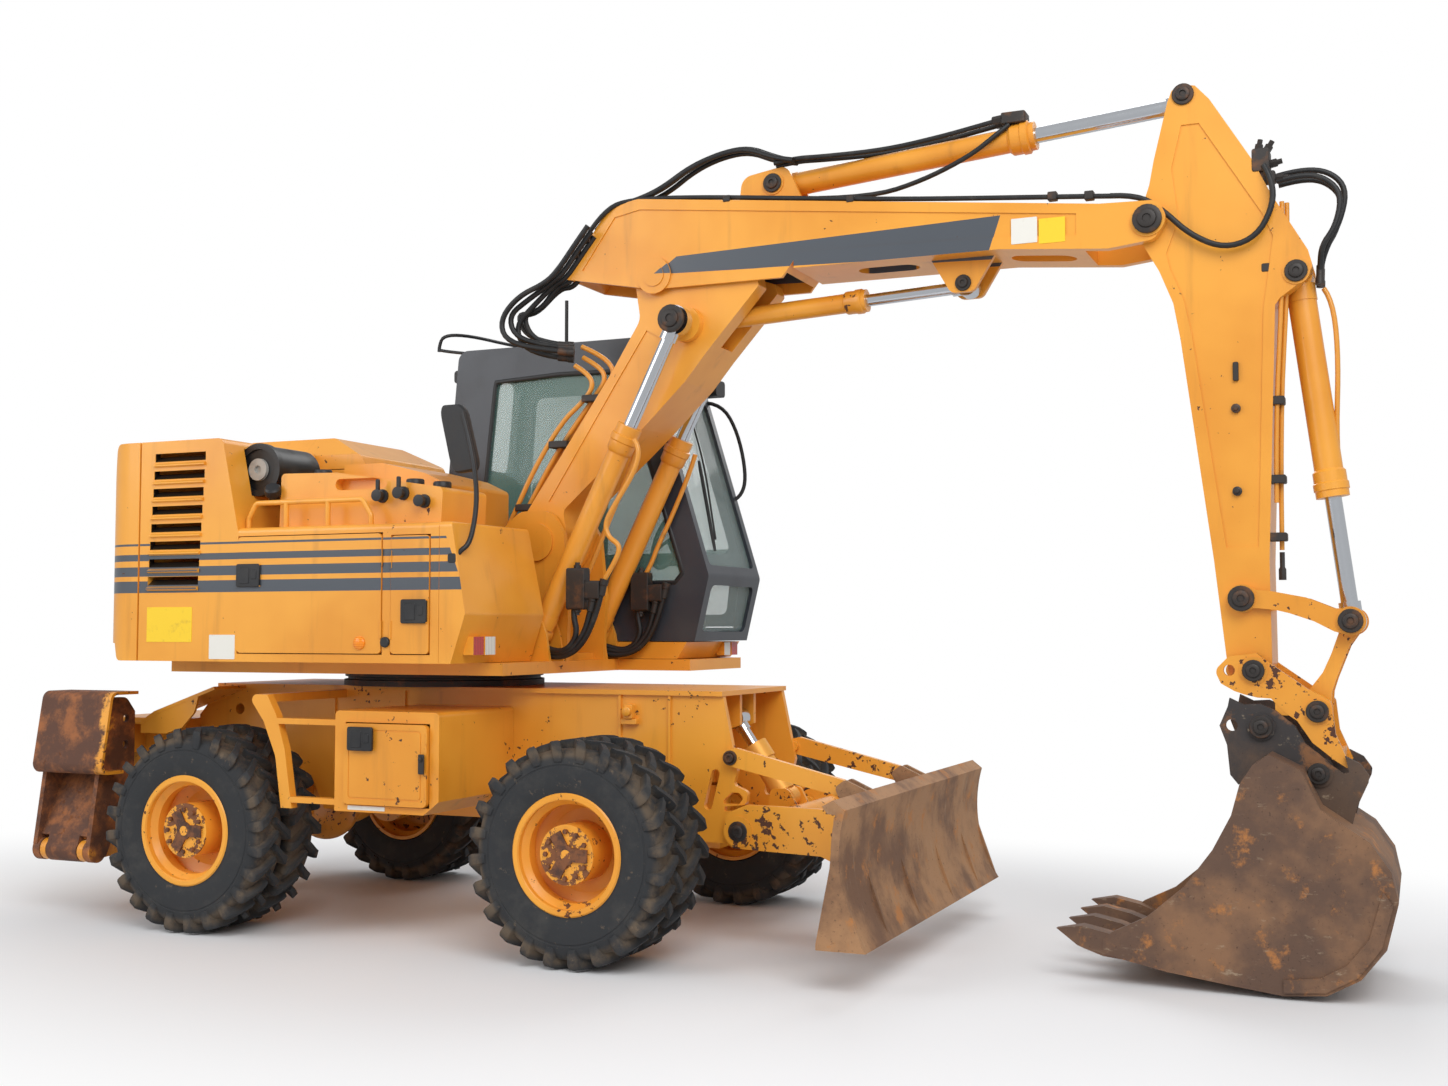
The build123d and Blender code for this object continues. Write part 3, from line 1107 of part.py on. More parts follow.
cylinders = (
    ("adjust", adjust_foot, adjust_head, (52, 950, 32, 56, 80, 32), (32, 500, 56, 100)),
    ("stick", stick_cylinder_foot, stick_head, (62, 1410, 40, 64, 120, 34), (40, 700, 66, 120)),
    ("bucket", bucket_cylinder_foot, rocker_pin, (65, 1060, 38, 66, 110, 34), (38, 560, 62, 110)),
)
for name, foot, head, barrel_sizes, rod_sizes in cylinders:
    with BuildPart() as cylinder_barrel:
        barrel(foot, head, 0, *barrel_sizes)
    save(cylinder_barrel, f"{name}_barrel")
    with BuildPart() as cylinder_rod:
        rod(foot, head, 0, *rod_sizes)
    save(cylinder_rod, f"{name}_rod")
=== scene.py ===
import math
import bmesh
import bpy
import numpy as np
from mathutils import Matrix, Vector


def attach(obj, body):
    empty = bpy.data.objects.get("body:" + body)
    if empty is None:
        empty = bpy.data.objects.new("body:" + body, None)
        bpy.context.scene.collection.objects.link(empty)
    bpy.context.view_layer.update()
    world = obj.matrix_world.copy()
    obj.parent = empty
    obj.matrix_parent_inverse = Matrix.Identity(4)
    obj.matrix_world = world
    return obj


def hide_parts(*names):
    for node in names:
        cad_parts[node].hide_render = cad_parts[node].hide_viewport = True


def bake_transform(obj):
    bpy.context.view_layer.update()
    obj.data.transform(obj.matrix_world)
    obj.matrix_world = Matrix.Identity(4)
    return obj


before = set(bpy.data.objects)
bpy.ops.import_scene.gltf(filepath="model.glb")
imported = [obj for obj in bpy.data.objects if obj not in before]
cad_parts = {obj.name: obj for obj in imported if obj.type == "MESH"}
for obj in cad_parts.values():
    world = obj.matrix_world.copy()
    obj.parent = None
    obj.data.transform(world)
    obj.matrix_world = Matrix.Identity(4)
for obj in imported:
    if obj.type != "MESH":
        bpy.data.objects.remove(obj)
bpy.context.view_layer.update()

# The camera stands in front of the machine's right-hand side, a little above the ground.
# Its place, turn and lens follow the way the photographed machine looks from there.
photo_width = 1448
focal_pixels = 1601
sensor_width = 36.0
camera_data = bpy.data.cameras.new("camera")
camera_data.sensor_width = sensor_width
camera_data.lens = focal_pixels * sensor_width / photo_width
camera_data.clip_end = 200
camera = bpy.data.objects.new("camera", camera_data)
camera.location = (3.784, -8.009, 1.632)
camera.rotation_euler = (math.pi / 2 + 0.053531, 0, 0.411476)
bpy.context.scene.collection.objects.link(camera)
bpy.context.scene.camera = camera
bpy.context.scene.view_settings.view_transform = "Standard"


# The body's sheet steel is sprayed with orange-yellow enamel and left to fade a little in
# patches. Dirt has run down it, and stones have chipped it to brown primer and rust.
# The coat is worked out from the place on the machine, so that neighbouring panels agree.
class Shade:
    """A socket in a material's node tree, with arithmetic on it written as Python."""

    def __init__(self, tree, socket):
        self.tree = tree
        self.socket = socket

    def math(self, operation, other=None, third=None):
        node = self.tree.nodes.new("ShaderNodeMath")
        node.operation = operation
        for slot, value in zip(node.inputs, (self, other, third)):
            wire(self.tree, value, slot)
        return Shade(self.tree, node.outputs[0])

    def flipped(self, operation, other):
        node = self.tree.nodes.new("ShaderNodeMath")
        node.operation = operation
        wire(self.tree, other, node.inputs[0])
        wire(self.tree, self, node.inputs[1])
        return Shade(self.tree, node.outputs[0])

    def __add__(self, other):
        return self.math("ADD", other)

    def __radd__(self, other):
        return self.math("ADD", other)

    def __sub__(self, other):
        return self.math("SUBTRACT", other)

    def __rsub__(self, other):
        return self.flipped("SUBTRACT", other)

    def __mul__(self, other):
        return self.math("MULTIPLY", other)

    def __rmul__(self, other):
        return self.math("MULTIPLY", other)

    def __gt__(self, other):
        return self.math("GREATER_THAN", other)

    def __lt__(self, other):
        return self.math("LESS_THAN", other)

    def __and__(self, other):
        return self.math("MULTIPLY", other)

    def __or__(self, other):
        return self.math("MAXIMUM", other)

    def __abs__(self):
        return self.math("ABSOLUTE")

    def ramp(self, low, high):
        """0 below low, 1 above high, and smooth between."""
        node = self.tree.nodes.new("ShaderNodeMapRange")
        node.interpolation_type = "SMOOTHSTEP"
        wire(self.tree, self, node.inputs["Value"])
        node.inputs["From Min"].default_value = low
        node.inputs["From Max"].default_value = high
        return Shade(self.tree, node.outputs["Result"])


def wire(tree, value, slot):
    """Feeds a socket from another socket, a number or a colour."""
    if isinstance(value, Shade):
        tree.links.new(value.socket, slot)
    elif value is not None:
        slot.default_value = value


class Finish:
    """A material made of nodes: it makes nodes by type and ends in one Principled shader."""

    def __init__(self, name):
        self.material = bpy.data.materials.new(name)
        self.material.use_nodes = True
        self.tree = self.material.node_tree
        self.shader = self.tree.nodes["Principled BSDF"]

    def node(self, kind, settings=None, output=0, **values):
        made = self.tree.nodes.new(kind)
        for key, value in (settings or {}).items():
            setattr(made, key, value)
        for key, value in values.items():
            wire(self.tree, value, made.inputs[key.replace("_", " ")])
        return Shade(self.tree, made.outputs[output])

    def place(self):
        """Object coordinates, in metres, in the machine's own frame."""
        return self.node("ShaderNodeTexCoord", output="Object")

    def stretched(self, x, y, z):
        return self.node("ShaderNodeMapping", Vector=self.place(), Scale=(x, y, z))

    def axis(self, letter):
        return self.node("ShaderNodeSeparateXYZ", output=letter, Vector=self.place())

    def facing(self, letter):
        """How squarely a surface faces along an axis, from 0 to 1."""
        normal = self.node("ShaderNodeNewGeometry", output="Normal")
        return abs(self.node("ShaderNodeSeparateXYZ", output=letter, Vector=normal))

    def noise(self, scale, detail=4, roughness=0.55, vector=None):
        return self.node("ShaderNodeTexNoise", Vector=vector or self.place(), Scale=scale,
                         Detail=detail, Roughness=roughness)

    def mix(self, factor, first, second):
        made = self.tree.nodes.new("ShaderNodeMix")
        made.data_type = "RGBA"
        wire(self.tree, factor, made.inputs["Factor"])
        wire(self.tree, first, made.inputs[6])
        wire(self.tree, second, made.inputs[7])
        return Shade(self.tree, made.outputs[2])

    def bump(self, height, strength=0.3, distance=0.004):
        return self.node("ShaderNodeBump", Height=height, Strength=strength, Distance=distance)

    def end(self, **values):
        for key, value in values.items():
            wire(self.tree, value, self.shader.inputs[key.replace("_", " ")])
        return self.material


def rgb(red, green, blue):
    """A colour as seen on screen, 0 to 255, as the linear numbers that a shader takes."""
    seen = np.array([red, green, blue]) / 255
    linear = np.where(seen <= 0.04045, seen / 12.92, ((seen + 0.055) / 1.055) ** 2.4)
    return (*(float(v) for v in linear), 1.0)


def dress(material, *names):
    """Gives CAD nodes a finish."""
    for name in names:
        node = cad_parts[name]
        node.data.materials.clear()
        node.data.materials.append(material)


paint_lit = rgb(243, 168, 58)
paint_deep = rgb(228, 149, 42)
grime = rgb(150, 96, 40)
chip_rust = rgb(84, 50, 34)
stripe_slate = rgb(76, 82, 90)
# near-black used as painted shade inside the louvre slots
slot_shade = rgb(34, 28, 22)


def enamel(coat, chips):
    """Colour, roughness and relief of the enamel, with a share of chips: clusters of fine noise
    that pass a level, and a lower level near the ground."""
    broad = coat.noise(1.3, 3)
    runs = coat.noise(1.0, 5, vector=coat.stretched(9, 9, 0.9))
    colour = coat.mix(broad.ramp(0.35, 0.7), paint_lit, paint_deep)
    colour = coat.mix(runs.ramp(0.56, 0.78) * 0.3, colour, grime)
    fine = coat.noise(26, 6, 0.6)
    cluster = coat.noise(2.6, 3)
    low_down = 1 - coat.axis("Z").ramp(0.3, 1.4)
    level = 0.985 - 0.05 * chips
    worn = (fine + cluster * 0.5 + low_down * 0.03 * chips).ramp(level, level + 0.012)
    return colour, worn, 0.32 + broad * 0.1 + worn * 0.45, coat.noise(160, 2) * 0.02 - worn * 0.6


def painted(name, chips, marks=None):
    """Enamel with its chips; marks lays anything else on the colour before the chips break it."""
    coat = Finish(name)
    colour, worn, rough, relief = enamel(coat, chips)
    if marks:
        colour = marks(coat, colour)
    return coat.end(Base_Color=coat.mix(worn, colour, chip_rust), Roughness=rough,
                    Normal=coat.bump(relief, 0.35, 0.002), Coat_Weight=0.25, Coat_Roughness=0.15)


def side_stripes_and_slot_shade(coat, colour):
    """Four slate bands along the side, by height, that stop on a slanting line ahead, and painted shade: near-black on
    the inner walls seen through the louvre slots.
    """
    height = coat.axis("Z")
    band = None
    for low, high in ((2.086, 2.098), (2.003, 2.039), (1.918, 1.970), (1.828, 1.892)):
        this = (height > low) & (height < high)
        band = this if band is None else band | this
    side = coat.facing("Y").ramp(0.5, 0.6) & (coat.axis("Y") < -1.1)
    colour = coat.mix(band & side & (coat.axis("X") < -0.70 + (2.1 - height) * 0.4), colour, stripe_slate)
    # Painted shade: the inner walls behind the louvre slots are coloured near-black, for the shade inside them
    shaded_slots = (abs(coat.axis("X") + 2.415) < 0.215) & (height > 1.8) & (height < 2.62) & (abs(coat.axis("Y") + 1.1) < 0.1165)
    return coat.mix(shaded_slots, colour, slot_shade)


paint = painted("paint", 0.1)
paint_striped = painted("paint_striped", 0.1, side_stripes_and_slot_shade)
paint_worn = painted("paint_worn", 0.9)
paint_battered = painted("paint_battered", 1.9)
dress(paint, "house_frame", "body_left", "engine_door_left", "engine_housing", "engine_hood", "tank_hood",
      "cab_base", "lower_boom", "stick", "lift_barrels", "adjust_barrel", "stick_barrel", "bucket_barrel",
      "handrail")
dress(paint_striped, "body_right", "engine_door_right", "service_door", "counterweight", "corner_module")
dress(paint_worn, "chassis_frame", "side_box_right", "side_box_left", "box_door", "front_axle", "rear_axle",
      "knuckle_right", "knuckle_left", "rocker")
dress(paint_battered, "blade_arms", "blade_links", "link", "coupler")


# Blade, bucket and the lower half of the coupling are bare plate that soil has scoured: brown
# rust with ochre patches, and paler scratches that run down the blade and along the bucket.
# The ring under the house and the engine are dark, oily steel.
def rusty_steel(name, base, paler, patch_share=0.8, runs=(14, 3, 1.0)):
    """Brown steel, its patches and scratches from three scales of noise."""
    coat = Finish(name)
    broad = coat.noise(2.4, 6, 0.6)
    patch = coat.noise(6.5, 8, 0.7)
    scratch = coat.noise(3.0, 7, 0.7, vector=coat.stretched(*runs))
    speck = coat.noise(60, 4, 0.7)
    colour = coat.mix(broad.ramp(0.38, 0.62), base, paler)
    colour = coat.mix(patch.ramp(0.55, 0.67) * patch_share, colour, rgb(184, 122, 66))
    colour = coat.mix(scratch.ramp(0.6, 0.72) * 0.55, colour, rgb(178, 160, 134))
    colour = coat.mix(speck.ramp(0.6, 0.7) * 0.6, colour, rgb(58, 42, 34))
    return coat.end(Base_Color=colour, Roughness=0.58 + patch * 0.25, Metallic=0.15,
                    Normal=coat.bump(patch * 0.5 + speck * 0.25, 0.5, 0.004))


dress(rusty_steel("blade_rust", rgb(118, 86, 64), rgb(172, 130, 92), 0.9, (2, 15, 1.1)), "blade")
dress(rusty_steel("bucket_rust", rgb(100, 76, 62), rgb(140, 104, 76), 0.9, (3, 3, 9)), "bucket")
dress(rusty_steel("adapter_rust", rgb(60, 56, 56), rgb(98, 78, 64), 0.45, (6, 6, 6)), "adapter")


def oily_steel():
    """Dark steel with a film of oil and a little rust."""
    coat = Finish("oily_steel")
    patch = coat.noise(9, 6, 0.65)
    colour = coat.mix(patch.ramp(0.5, 0.7), rgb(56, 52, 50), rgb(104, 72, 50))
    return coat.end(Base_Color=colour, Roughness=0.42 + patch * 0.2, Metallic=0.3,
                    Normal=coat.bump(patch, 0.3, 0.003))


dark_steel = oily_steel()
dress(dark_steel, "slew_ring", "engine_block")


def chromed():
    """Ground and chromed rod."""
    coat = Finish("chrome")
    haze = coat.noise(30, 3)
    return coat.end(Base_Color=rgb(214, 218, 224), Roughness=0.1 + haze * 0.12, Metallic=1.0)


dress(chromed(), "lift_rods", "adjust_rod", "stick_rod", "bucket_rod", "blade_rod")


# The rear legs fold down on both sides: their feet and covers have lost all paint to the
# ground, and their side plates are still mostly yellow.
def leg_coat():
    """Rust behind a ragged line across the leg, worn enamel ahead of it."""
    coat = Finish("leg_coat")
    colour, worn, rough, relief = enamel(coat, 1.6)
    patch = coat.noise(7, 7, 0.7)
    scoured = coat.mix(patch.ramp(0.42, 0.66), rgb(92, 58, 42), rgb(158, 96, 52))
    bare = 1 - (coat.axis("X") + patch * 0.3).ramp(-2.99, -2.95)
    colour = coat.mix(bare | worn, colour, scoured)
    return coat.end(Base_Color=colour, Roughness=rough + bare * 0.3, Normal=coat.bump(relief + patch * 0.3, 0.4, 0.003))


dress(leg_coat(), "leg_right", "leg_left")


# Twin tyres of black rubber, each a cross-ply carcass moulded with two rows of slanting lugs
# that wrap over its shoulders. Dry soil lies between the lugs. They are pressed on to
# two-part steel rims round a hub drum with a rusty three-armed cover.
axle_places = {"front": 0.0, "rear": -2.335}
tyre_radius = 0.55
lug_count = 24
lug_pitch = 2 * math.pi / lug_count
lug_slant = 0.17
bar_y = np.array([-0.006, 0.030, 0.062, 0.092, 0.111, 0.1185, 0.1192, 0.1165])
bar_top = np.array([0.5465, 0.5475, 0.548, 0.546, 0.540, 0.526, 0.492, 0.448])
root_y = np.array([-0.006, 0.030, 0.060, 0.082, 0.092, 0.096, 0.099, 0.102])
root_top = np.array([0.492, 0.492, 0.492, 0.488, 0.480, 0.466, 0.450, 0.440])
bar_half = np.array([0.017, 0.019, 0.021, 0.024, 0.027, 0.029, 0.029, 0.024]) / tyre_radius
bar_turn = -lug_slant * np.array([0, 0.30, 0.58, 0.84, 0.95, 1.0, 1.02, 1.02])
wall_y = np.array([0, 0.05, 0.084, 0.098, 0.1055, 0.1095, 0.1110, 0.1085, 0.1085, 0.1120, 0.1125, 0.110, 0.103,
                   0.098, 0.098, 0.088])
wall_radius = np.array([0.506, 0.506, 0.498, 0.484, 0.464, 0.446, 0.434, 0.431, 0.425, 0.421, 0.390, 0.345, 0.314,
                        0.303, 0.294, 0.286])


def skin(grid, capped=True, wrap=False):
    """Quads over a grid of points (copies, rows, columns, xyz). Each row is a ring that closes on
    itself. The last row joins the first where wrap is on, or else a flat cap closes each end."""
    grid = np.asarray(grid, dtype=float)
    grid = grid[None] if grid.ndim == 3 else grid
    copies, rows, columns = grid.shape[:3]
    index = np.arange(copies * rows * columns).reshape(copies, rows, columns)
    turned_on = np.roll(index, -1, axis=2)
    above, above_on = np.roll(index, -1, axis=1), np.roll(turned_on, -1, axis=1)
    last = rows if wrap else rows - 1
    quads = np.stack([index[:, :last], turned_on[:, :last], above_on[:, :last], above[:, :last]], axis=-1)
    caps = [] if wrap or not capped else index[:, 0, ::-1].tolist() + index[:, -1].tolist()
    return grid.reshape(-1, 3), quads.reshape(-1, 4).tolist() + caps


def build(name, skins, material, body=None, smooth=38):
    """One mesh piece from several skins, with doubled points merged, faces turned outwards and
    edges sharper than smooth degrees kept sharp. It rides on a body."""
    points, faces, count = [], [], 0
    for skin_points, skin_faces in skins:
        points.append(skin_points)
        faces += [[i + count for i in face] for face in skin_faces]
        count += len(skin_points)
    mesh = bpy.data.meshes.new(name)
    mesh.from_pydata(np.concatenate(points).tolist(), [], faces)
    form = bmesh.new()
    form.from_mesh(mesh)
    bmesh.ops.remove_doubles(form, verts=form.verts, dist=1e-5)
    bmesh.ops.recalc_face_normals(form, faces=form.faces)
    form.to_mesh(mesh)
    form.free()
    mesh.shade_smooth()
    mesh.set_sharp_from_angle(angle=math.radians(smooth))
    mesh.materials.append(material)
    piece = bpy.data.objects.new(name, mesh)
    bpy.context.scene.collection.objects.link(piece)
    if body:
        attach(piece, body)
    return piece


def wheel_points(axle_x, angle, radius, y):
    """Points at an angle and radius round an axle, at a distance along it."""
    angle, radius, y = np.broadcast_arrays(angle, radius, y)
    return np.stack([axle_x + radius * np.cos(angle), y, tyre_radius + radius * np.sin(angle)], axis=-1)


def tyre(axle_x, middle):
    """The carcass is its wall's profile turned round the axle. A lug is a bar whose section
    (root, chamfer, top, chamfer, root) is carried from the tread's middle over the shoulder,
    turning back as it goes, and is repeated round both rows half a pitch apart."""
    profile_y = np.concatenate([wall_y, -wall_y[:0:-1]])
    profile_radius = np.concatenate([wall_radius, wall_radius[:0:-1]])
    angle = np.linspace(0, 2 * math.pi, 72, endpoint=False)
    made = [skin(wheel_points(axle_x, angle[:, None], profile_radius, middle + profile_y), wrap=True)]
    depth = np.array([1, 0.16, 0, 0, 0.16, 1])
    across = np.array([-1.12, -1, -0.82, 0.82, 1, 1.12])
    for row, side in enumerate((-1, 1)):
        start = (np.arange(lug_count) + 0.5 * row) * lug_pitch
        turn = start[:, None, None] + bar_turn[:, None] + bar_half[:, None] * across
        radius = bar_top[:, None] * (1 - depth) + root_top[:, None] * depth
        y = middle + side * (bar_y[:, None] * (1 - depth) + root_y[:, None] * depth)
        made.append(skin(wheel_points(axle_x, turn, radius[None], y[None])))
    return made


def from_axle(coat):
    """Distance from the nearer axle's line, the same for front and rear wheels."""
    along = coat.axis("X")
    near = along + (along < -1.2) * -axle_places["rear"]
    up = coat.axis("Z") - tyre_radius
    return (near * near + up * up).math("SQRT")


def tyre_rubber():
    """Blue-black rubber; brown dust on the lugs' roots and, in patches, on the walls."""
    coat = Finish("tyre_rubber")
    patch = coat.noise(7, 6, 0.65)
    fine = coat.noise(70, 4)
    radius = from_axle(coat)
    low = (1 - radius.ramp(0.505, 0.545)) & radius.ramp(0.455, 0.485)
    colour = coat.mix(patch.ramp(0.45, 0.75) * 0.5, rgb(42, 44, 47), rgb(74, 72, 69))
    colour = coat.mix(low * patch.ramp(0.35, 0.6) * 0.75, colour, rgb(104, 88, 70))
    colour = coat.mix(coat.noise(19, 5, 0.7).ramp(0.62, 0.70) * 0.45, colour, rgb(120, 102, 82))
    return coat.end(Base_Color=colour, Roughness=0.72 + patch * 0.2, Normal=coat.bump(fine, 0.25, 0.003))


def hub_coat():
    """Worn enamel, brown with rust on the cover's raised face, yellow again at its centre."""
    coat = Finish("hub_coat")
    colour, worn, rough, relief = enamel(coat, 0.9)
    radius = from_axle(coat)
    out = abs(coat.axis("Y"))
    patch = coat.noise(16, 6, 0.7)
    cover = (out > 1.2262) & (radius < 0.14) & (radius > 0.026)
    drum = (out > 1.215) & (radius < 0.147) & (patch > 0.53)
    rusty = cover | drum | (worn > 0.5)
    colour = coat.mix(rusty, colour, coat.mix(patch.ramp(0.4, 0.6), rgb(74, 46, 34), rgb(128, 78, 44)))
    return coat.end(Base_Color=colour, Roughness=rough + rusty * 0.2, Normal=coat.bump(relief, 0.3, 0.002))


rubber = tyre_rubber()
rim_enamel = hub_coat()
flange_radius = np.array([0.262, 0.262, 0.270, 0.289, 0.296, 0.292, 0.280])
flange_out = np.array([1.214, 1.230, 1.2365, 1.2365, 1.230, 1.2265, 1.214])
stud_radius = np.array([0, 0.011, 0.013, 0.013])
stud_out = np.array([1.240, 1.240, 1.236, 1.218])
for end, axle_x in axle_places.items():
    for side_name, side in (("right", -1), ("left", 1)):
        wheel = f"wheel_{end}_{side_name}"
        pair = build(f"tyre_pair_{end}_{side_name}", tyre(axle_x, side * 1.13) + tyre(axle_x, side * 0.87),
                     rubber, wheel)
        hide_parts(f"tyres_{end}_{side_name}")
        dress(rim_enamel, f"rim_{end}_{side_name}")
        round_axle = np.linspace(0, 2 * math.pi, 64, endpoint=False)[:, None]
        flange = skin(wheel_points(axle_x, round_axle, flange_radius, side * flange_out), wrap=True)
        # Nine studs on the drum's face, each turned about its own centre between the cover's arms
        stud_angle = np.radians(np.array([28, 60, 92]))[:, None] + np.arange(3) * 2 * math.pi / 3
        centre = wheel_points(axle_x, stud_angle.ravel(), 0.112, 0)[:, None, None]
        turn = np.linspace(0, 2 * math.pi, 6, endpoint=False)
        head = np.stack([stud_radius[:, None] * np.cos(turn), np.broadcast_to(side * stud_out[:, None], (4, 6)),
                         stud_radius[:, None] * np.sin(turn)], axis=-1)
        studs = build(f"rim_trim_{end}_{side_name}", [flange, skin(centre + head)], rim_enamel, wheel)


# Every pin of the blade and the boom ends in a turned head with a washer, held by a bolt.
# Heads and washers are bare, greasy steel; soil and grease have turned them brown-black.
def turned(profile, centre, axis=(0, 1, 0), sides=20):
    """A profile of (radius, height) pairs turned round a line through centre along axis."""
    axis = np.array(axis, dtype=float) / np.linalg.norm(axis)
    aside = np.cross(axis, (0, 0, 1) if abs(axis[2]) < 0.9 else (1, 0, 0))
    aside /= np.linalg.norm(aside)
    square = np.cross(axis, aside)
    angle = np.linspace(0, 2 * math.pi, sides, endpoint=False)[None, :, None]
    radius, height = np.array(profile, dtype=float).T[:, :, None, None]
    return skin(np.array(centre) + radius * (np.cos(angle) * aside + np.sin(angle) * square) + height * axis)


def pin_head(place, y, size, proud=0.022):
    """Washer, shoulder and bolt of one pin end, on the side that y is on."""
    out = math.copysign(1, y)
    profile = [(0, -0.01), (size, -0.01), (size, 0.35 * proud), (size * 0.93, 0.5 * proud), (size * 0.66, 0.5 * proud),
               (size * 0.62, 0.9 * proud), (size * 0.56, proud), (size * 0.3, proud), (size * 0.27, 0.7 * proud),
               (0, 0.7 * proud)]
    return turned(profile, (place[0], y, place[1]), (0, out, 0))


pin_places = (
    ("chassis", "arm_pins", ((0.575, 0.605), 0.478, 0.052), ((0.530, 0.975), 0.475, 0.038)),
    ("blade_arms", "blade_arm_pins", ((1.205, 0.470), 0.483, 0.045),),
    ("blade_links", "blade_link_pins", ((1.160, 0.840), 0.475, 0.038),),
    ("house", "boom_foot_pins", ((-0.750, 2.115), 0.196, 0.085),),
    ("lower_boom", "boom_head_pins", ((0.155, 3.278), 0.400, 0.075),),
    ("upper_boom", "upper_boom_pins", ((2.609, 3.598), 0.242, 0.070), ((0.620, 4.030), 0.106, 0.052),
     ((1.666, 3.397), 0.100, 0.042)),
    ("stick", "stick_pins", ((2.775, 4.205), 0.167, 0.052), ((3.274, 3.300), 0.171, 0.052),
     ((3.008, 1.773), 0.216, 0.060)),
    ("rocker", "rocker_pins", ((3.481, 1.668), 0.213, 0.055),),
    ("bucket_set", "coupling_pins", ((3.333, 1.256), 0.232, 0.050), ((3.058, 1.439), 0.232, 0.050),
     ((3.091, 1.182), 0.268, 0.052), ((3.335, 0.978), 0.268, 0.048)),
)
for body, name, *places in pin_places:
    build(name, [pin_head(place, side * y, size) for place, y, size in places for side in (-1, 1)],
                  dark_steel, body)


# Black parts: latches, caps, knobs, lamp housings and mirrors are moulded in black plastic or
# cast and painted black. A fine grain breaks their shine, and dust greys their upper faces.
def black_coat():
    """Moulded black with fine grain."""
    coat = Finish("black_moulding")
    grain = coat.noise(220, 2)
    dust = coat.noise(5, 5).ramp(0.45, 0.75)
    return coat.end(Base_Color=coat.mix(dust * 0.4, rgb(30, 31, 34), rgb(74, 72, 70)), Roughness=0.45 + dust * 0.25,
                    Normal=coat.bump(grain, 0.2, 0.001))


def block(low, high, facing="y", corner=0.012, edge=0.003):
    """A rounded rectangle carried along one axis: its end rings are drawn in by edge."""
    low, high = np.array(low, dtype=float), np.array(high, dtype=float)
    order = {"x": (1, 2, 0), "y": (0, 2, 1), "z": (0, 1, 2)}[facing]
    low, high = low[list(order)], high[list(order)]
    turn = np.radians(np.linspace(0, 90, 5))
    corners = np.array([(1, 1), (-1, 1), (-1, -1), (1, -1)])
    angle = np.concatenate([turn + k * math.pi / 2 for k in range(4)])
    away = np.stack([np.cos(angle), np.sin(angle)], axis=-1)
    middle, half = (low[:2] + high[:2]) / 2, (high[:2] - low[:2]) / 2
    rings = []
    for drawn, along in ((edge, low[2]), (0, low[2] + edge), (0, high[2] - edge), (edge, high[2])):
        ring = middle + np.repeat(corners, 5, axis=0) * (half - corner) + away * (corner - drawn)
        rings.append(np.column_stack([ring, np.full(len(ring), along)]))
    points = np.empty((4, 20, 3))
    points[:, :, list(order)] = np.array(rings)
    return skin(points)


black = black_coat()


# Latches: a black tray is let into each door, with a finger plate across its lower half
def latch(x, z, y, out):
    """Tray, raised rim and finger plate round a place on a door's face."""
    reach = sorted((y - out * 0.004, y + out * 0.0145))
    plate_reach = sorted((y + out * 0.010, y + out * 0.0185))
    return [block((x - 0.077, reach[0], z - 0.061), (x + 0.077, reach[1], z + 0.061)),
            block((x - 0.055, plate_reach[0], z - 0.045), (x + 0.012, plate_reach[1], z + 0.042), corner=0.008),
            block((x + 0.026, plate_reach[0], z - 0.02), (x + 0.06, plate_reach[1], z + 0.03), corner=0.008)]


for name, body, x, z, y in (("engine_door_latch", "engine_door_right", -1.930, 1.915, -1.2255),
                            ("service_door_latch", "service_door", -0.880, 1.720, -1.2255),
                            ("left_door_latch", "engine_door_left", -2.500, 1.950, 1.2255)):
    build(name, latch(x, z, y, math.copysign(1, y)), black, body)
build("box_latch", latch(-1.230, 1.068, -1.184, -1), black, "box_door")
build("cab_door_handle", [block((-0.336, 1.196, 2.036), (-0.204, 1.238, 2.094), corner=0.014),
                          block((-0.360, 1.196, 2.000), (-0.180, 1.206, 2.130), corner=0.02)], black, "cab_door")
hasp = [block((-0.872, -1.196, 0.900), (-0.838, -1.184, 1.000), corner=0.006),
        turned([(0, 0), (0.011, 0), (0.011, 0.010), (0.007, 0.013), (0, 0.013)], (-0.855, -1.194, 0.975), (0, -1, 0), 12)]
build("box_hasp", hasp, dark_steel, "box_door")


# Plates: bare enamelled sheet, riveted on where the machine carries its signs. They stay blank.
def plate_coat(name, colour, dirty):
    """Enamelled sheet with grime from noise."""
    coat = Finish(name)
    dirt = coat.noise(11, 6, 0.7)
    return coat.end(Base_Color=coat.mix(dirt.ramp(0.55, 0.75) * 0.6, colour, dirty), Roughness=0.4 + dirt * 0.2)


valve_bracket = [block((-0.100, -0.470, 1.130), (-0.010, -0.430, 1.160), corner=0.004),
                 block((-0.080, -0.480, 1.160), (-0.030, -0.430, 1.235), corner=0.008),
                 turned([(0, -0.02), (0.026, -0.02), (0.026, 0.022), (0.018, 0.028), (0, 0.028)], (-0.055, -0.478, 1.200), (0, -1, 0), 14)]
build("valve_bracket", valve_bracket, paint_worn, "chassis")
yellow_sheet = plate_coat("yellow_sheet", rgb(250, 208, 40), rgb(196, 150, 50))
white_sheet = plate_coat("white_sheet", rgb(232, 230, 222), rgb(170, 150, 120))
for name, sheet, body, low, high in (
    ("louvre_plate", yellow_sheet, "house", (-2.630, -1.2225, 1.560), (-2.316, -1.2190, 1.750)),
    ("side_plate", white_sheet, "house", (-2.195, -1.2225, 1.470), (-2.022, -1.2190, 1.600)),
    ("boom_plate_white", white_sheet, "upper_boom", (1.945, -0.2245, 3.540), (2.075, -0.2215, 3.668)),
    ("boom_plate_yellow", yellow_sheet, "upper_boom", (2.083, -0.2245, 3.530), (2.213, -0.2215, 3.655)),
    ("box_plate", white_sheet, "chassis", (-1.330, -1.1520, 0.700), (-1.100, -1.1490, 0.722)),
):
    build(name, [block(low, high, corner=0.004, edge=0.0006)], sheet, body)


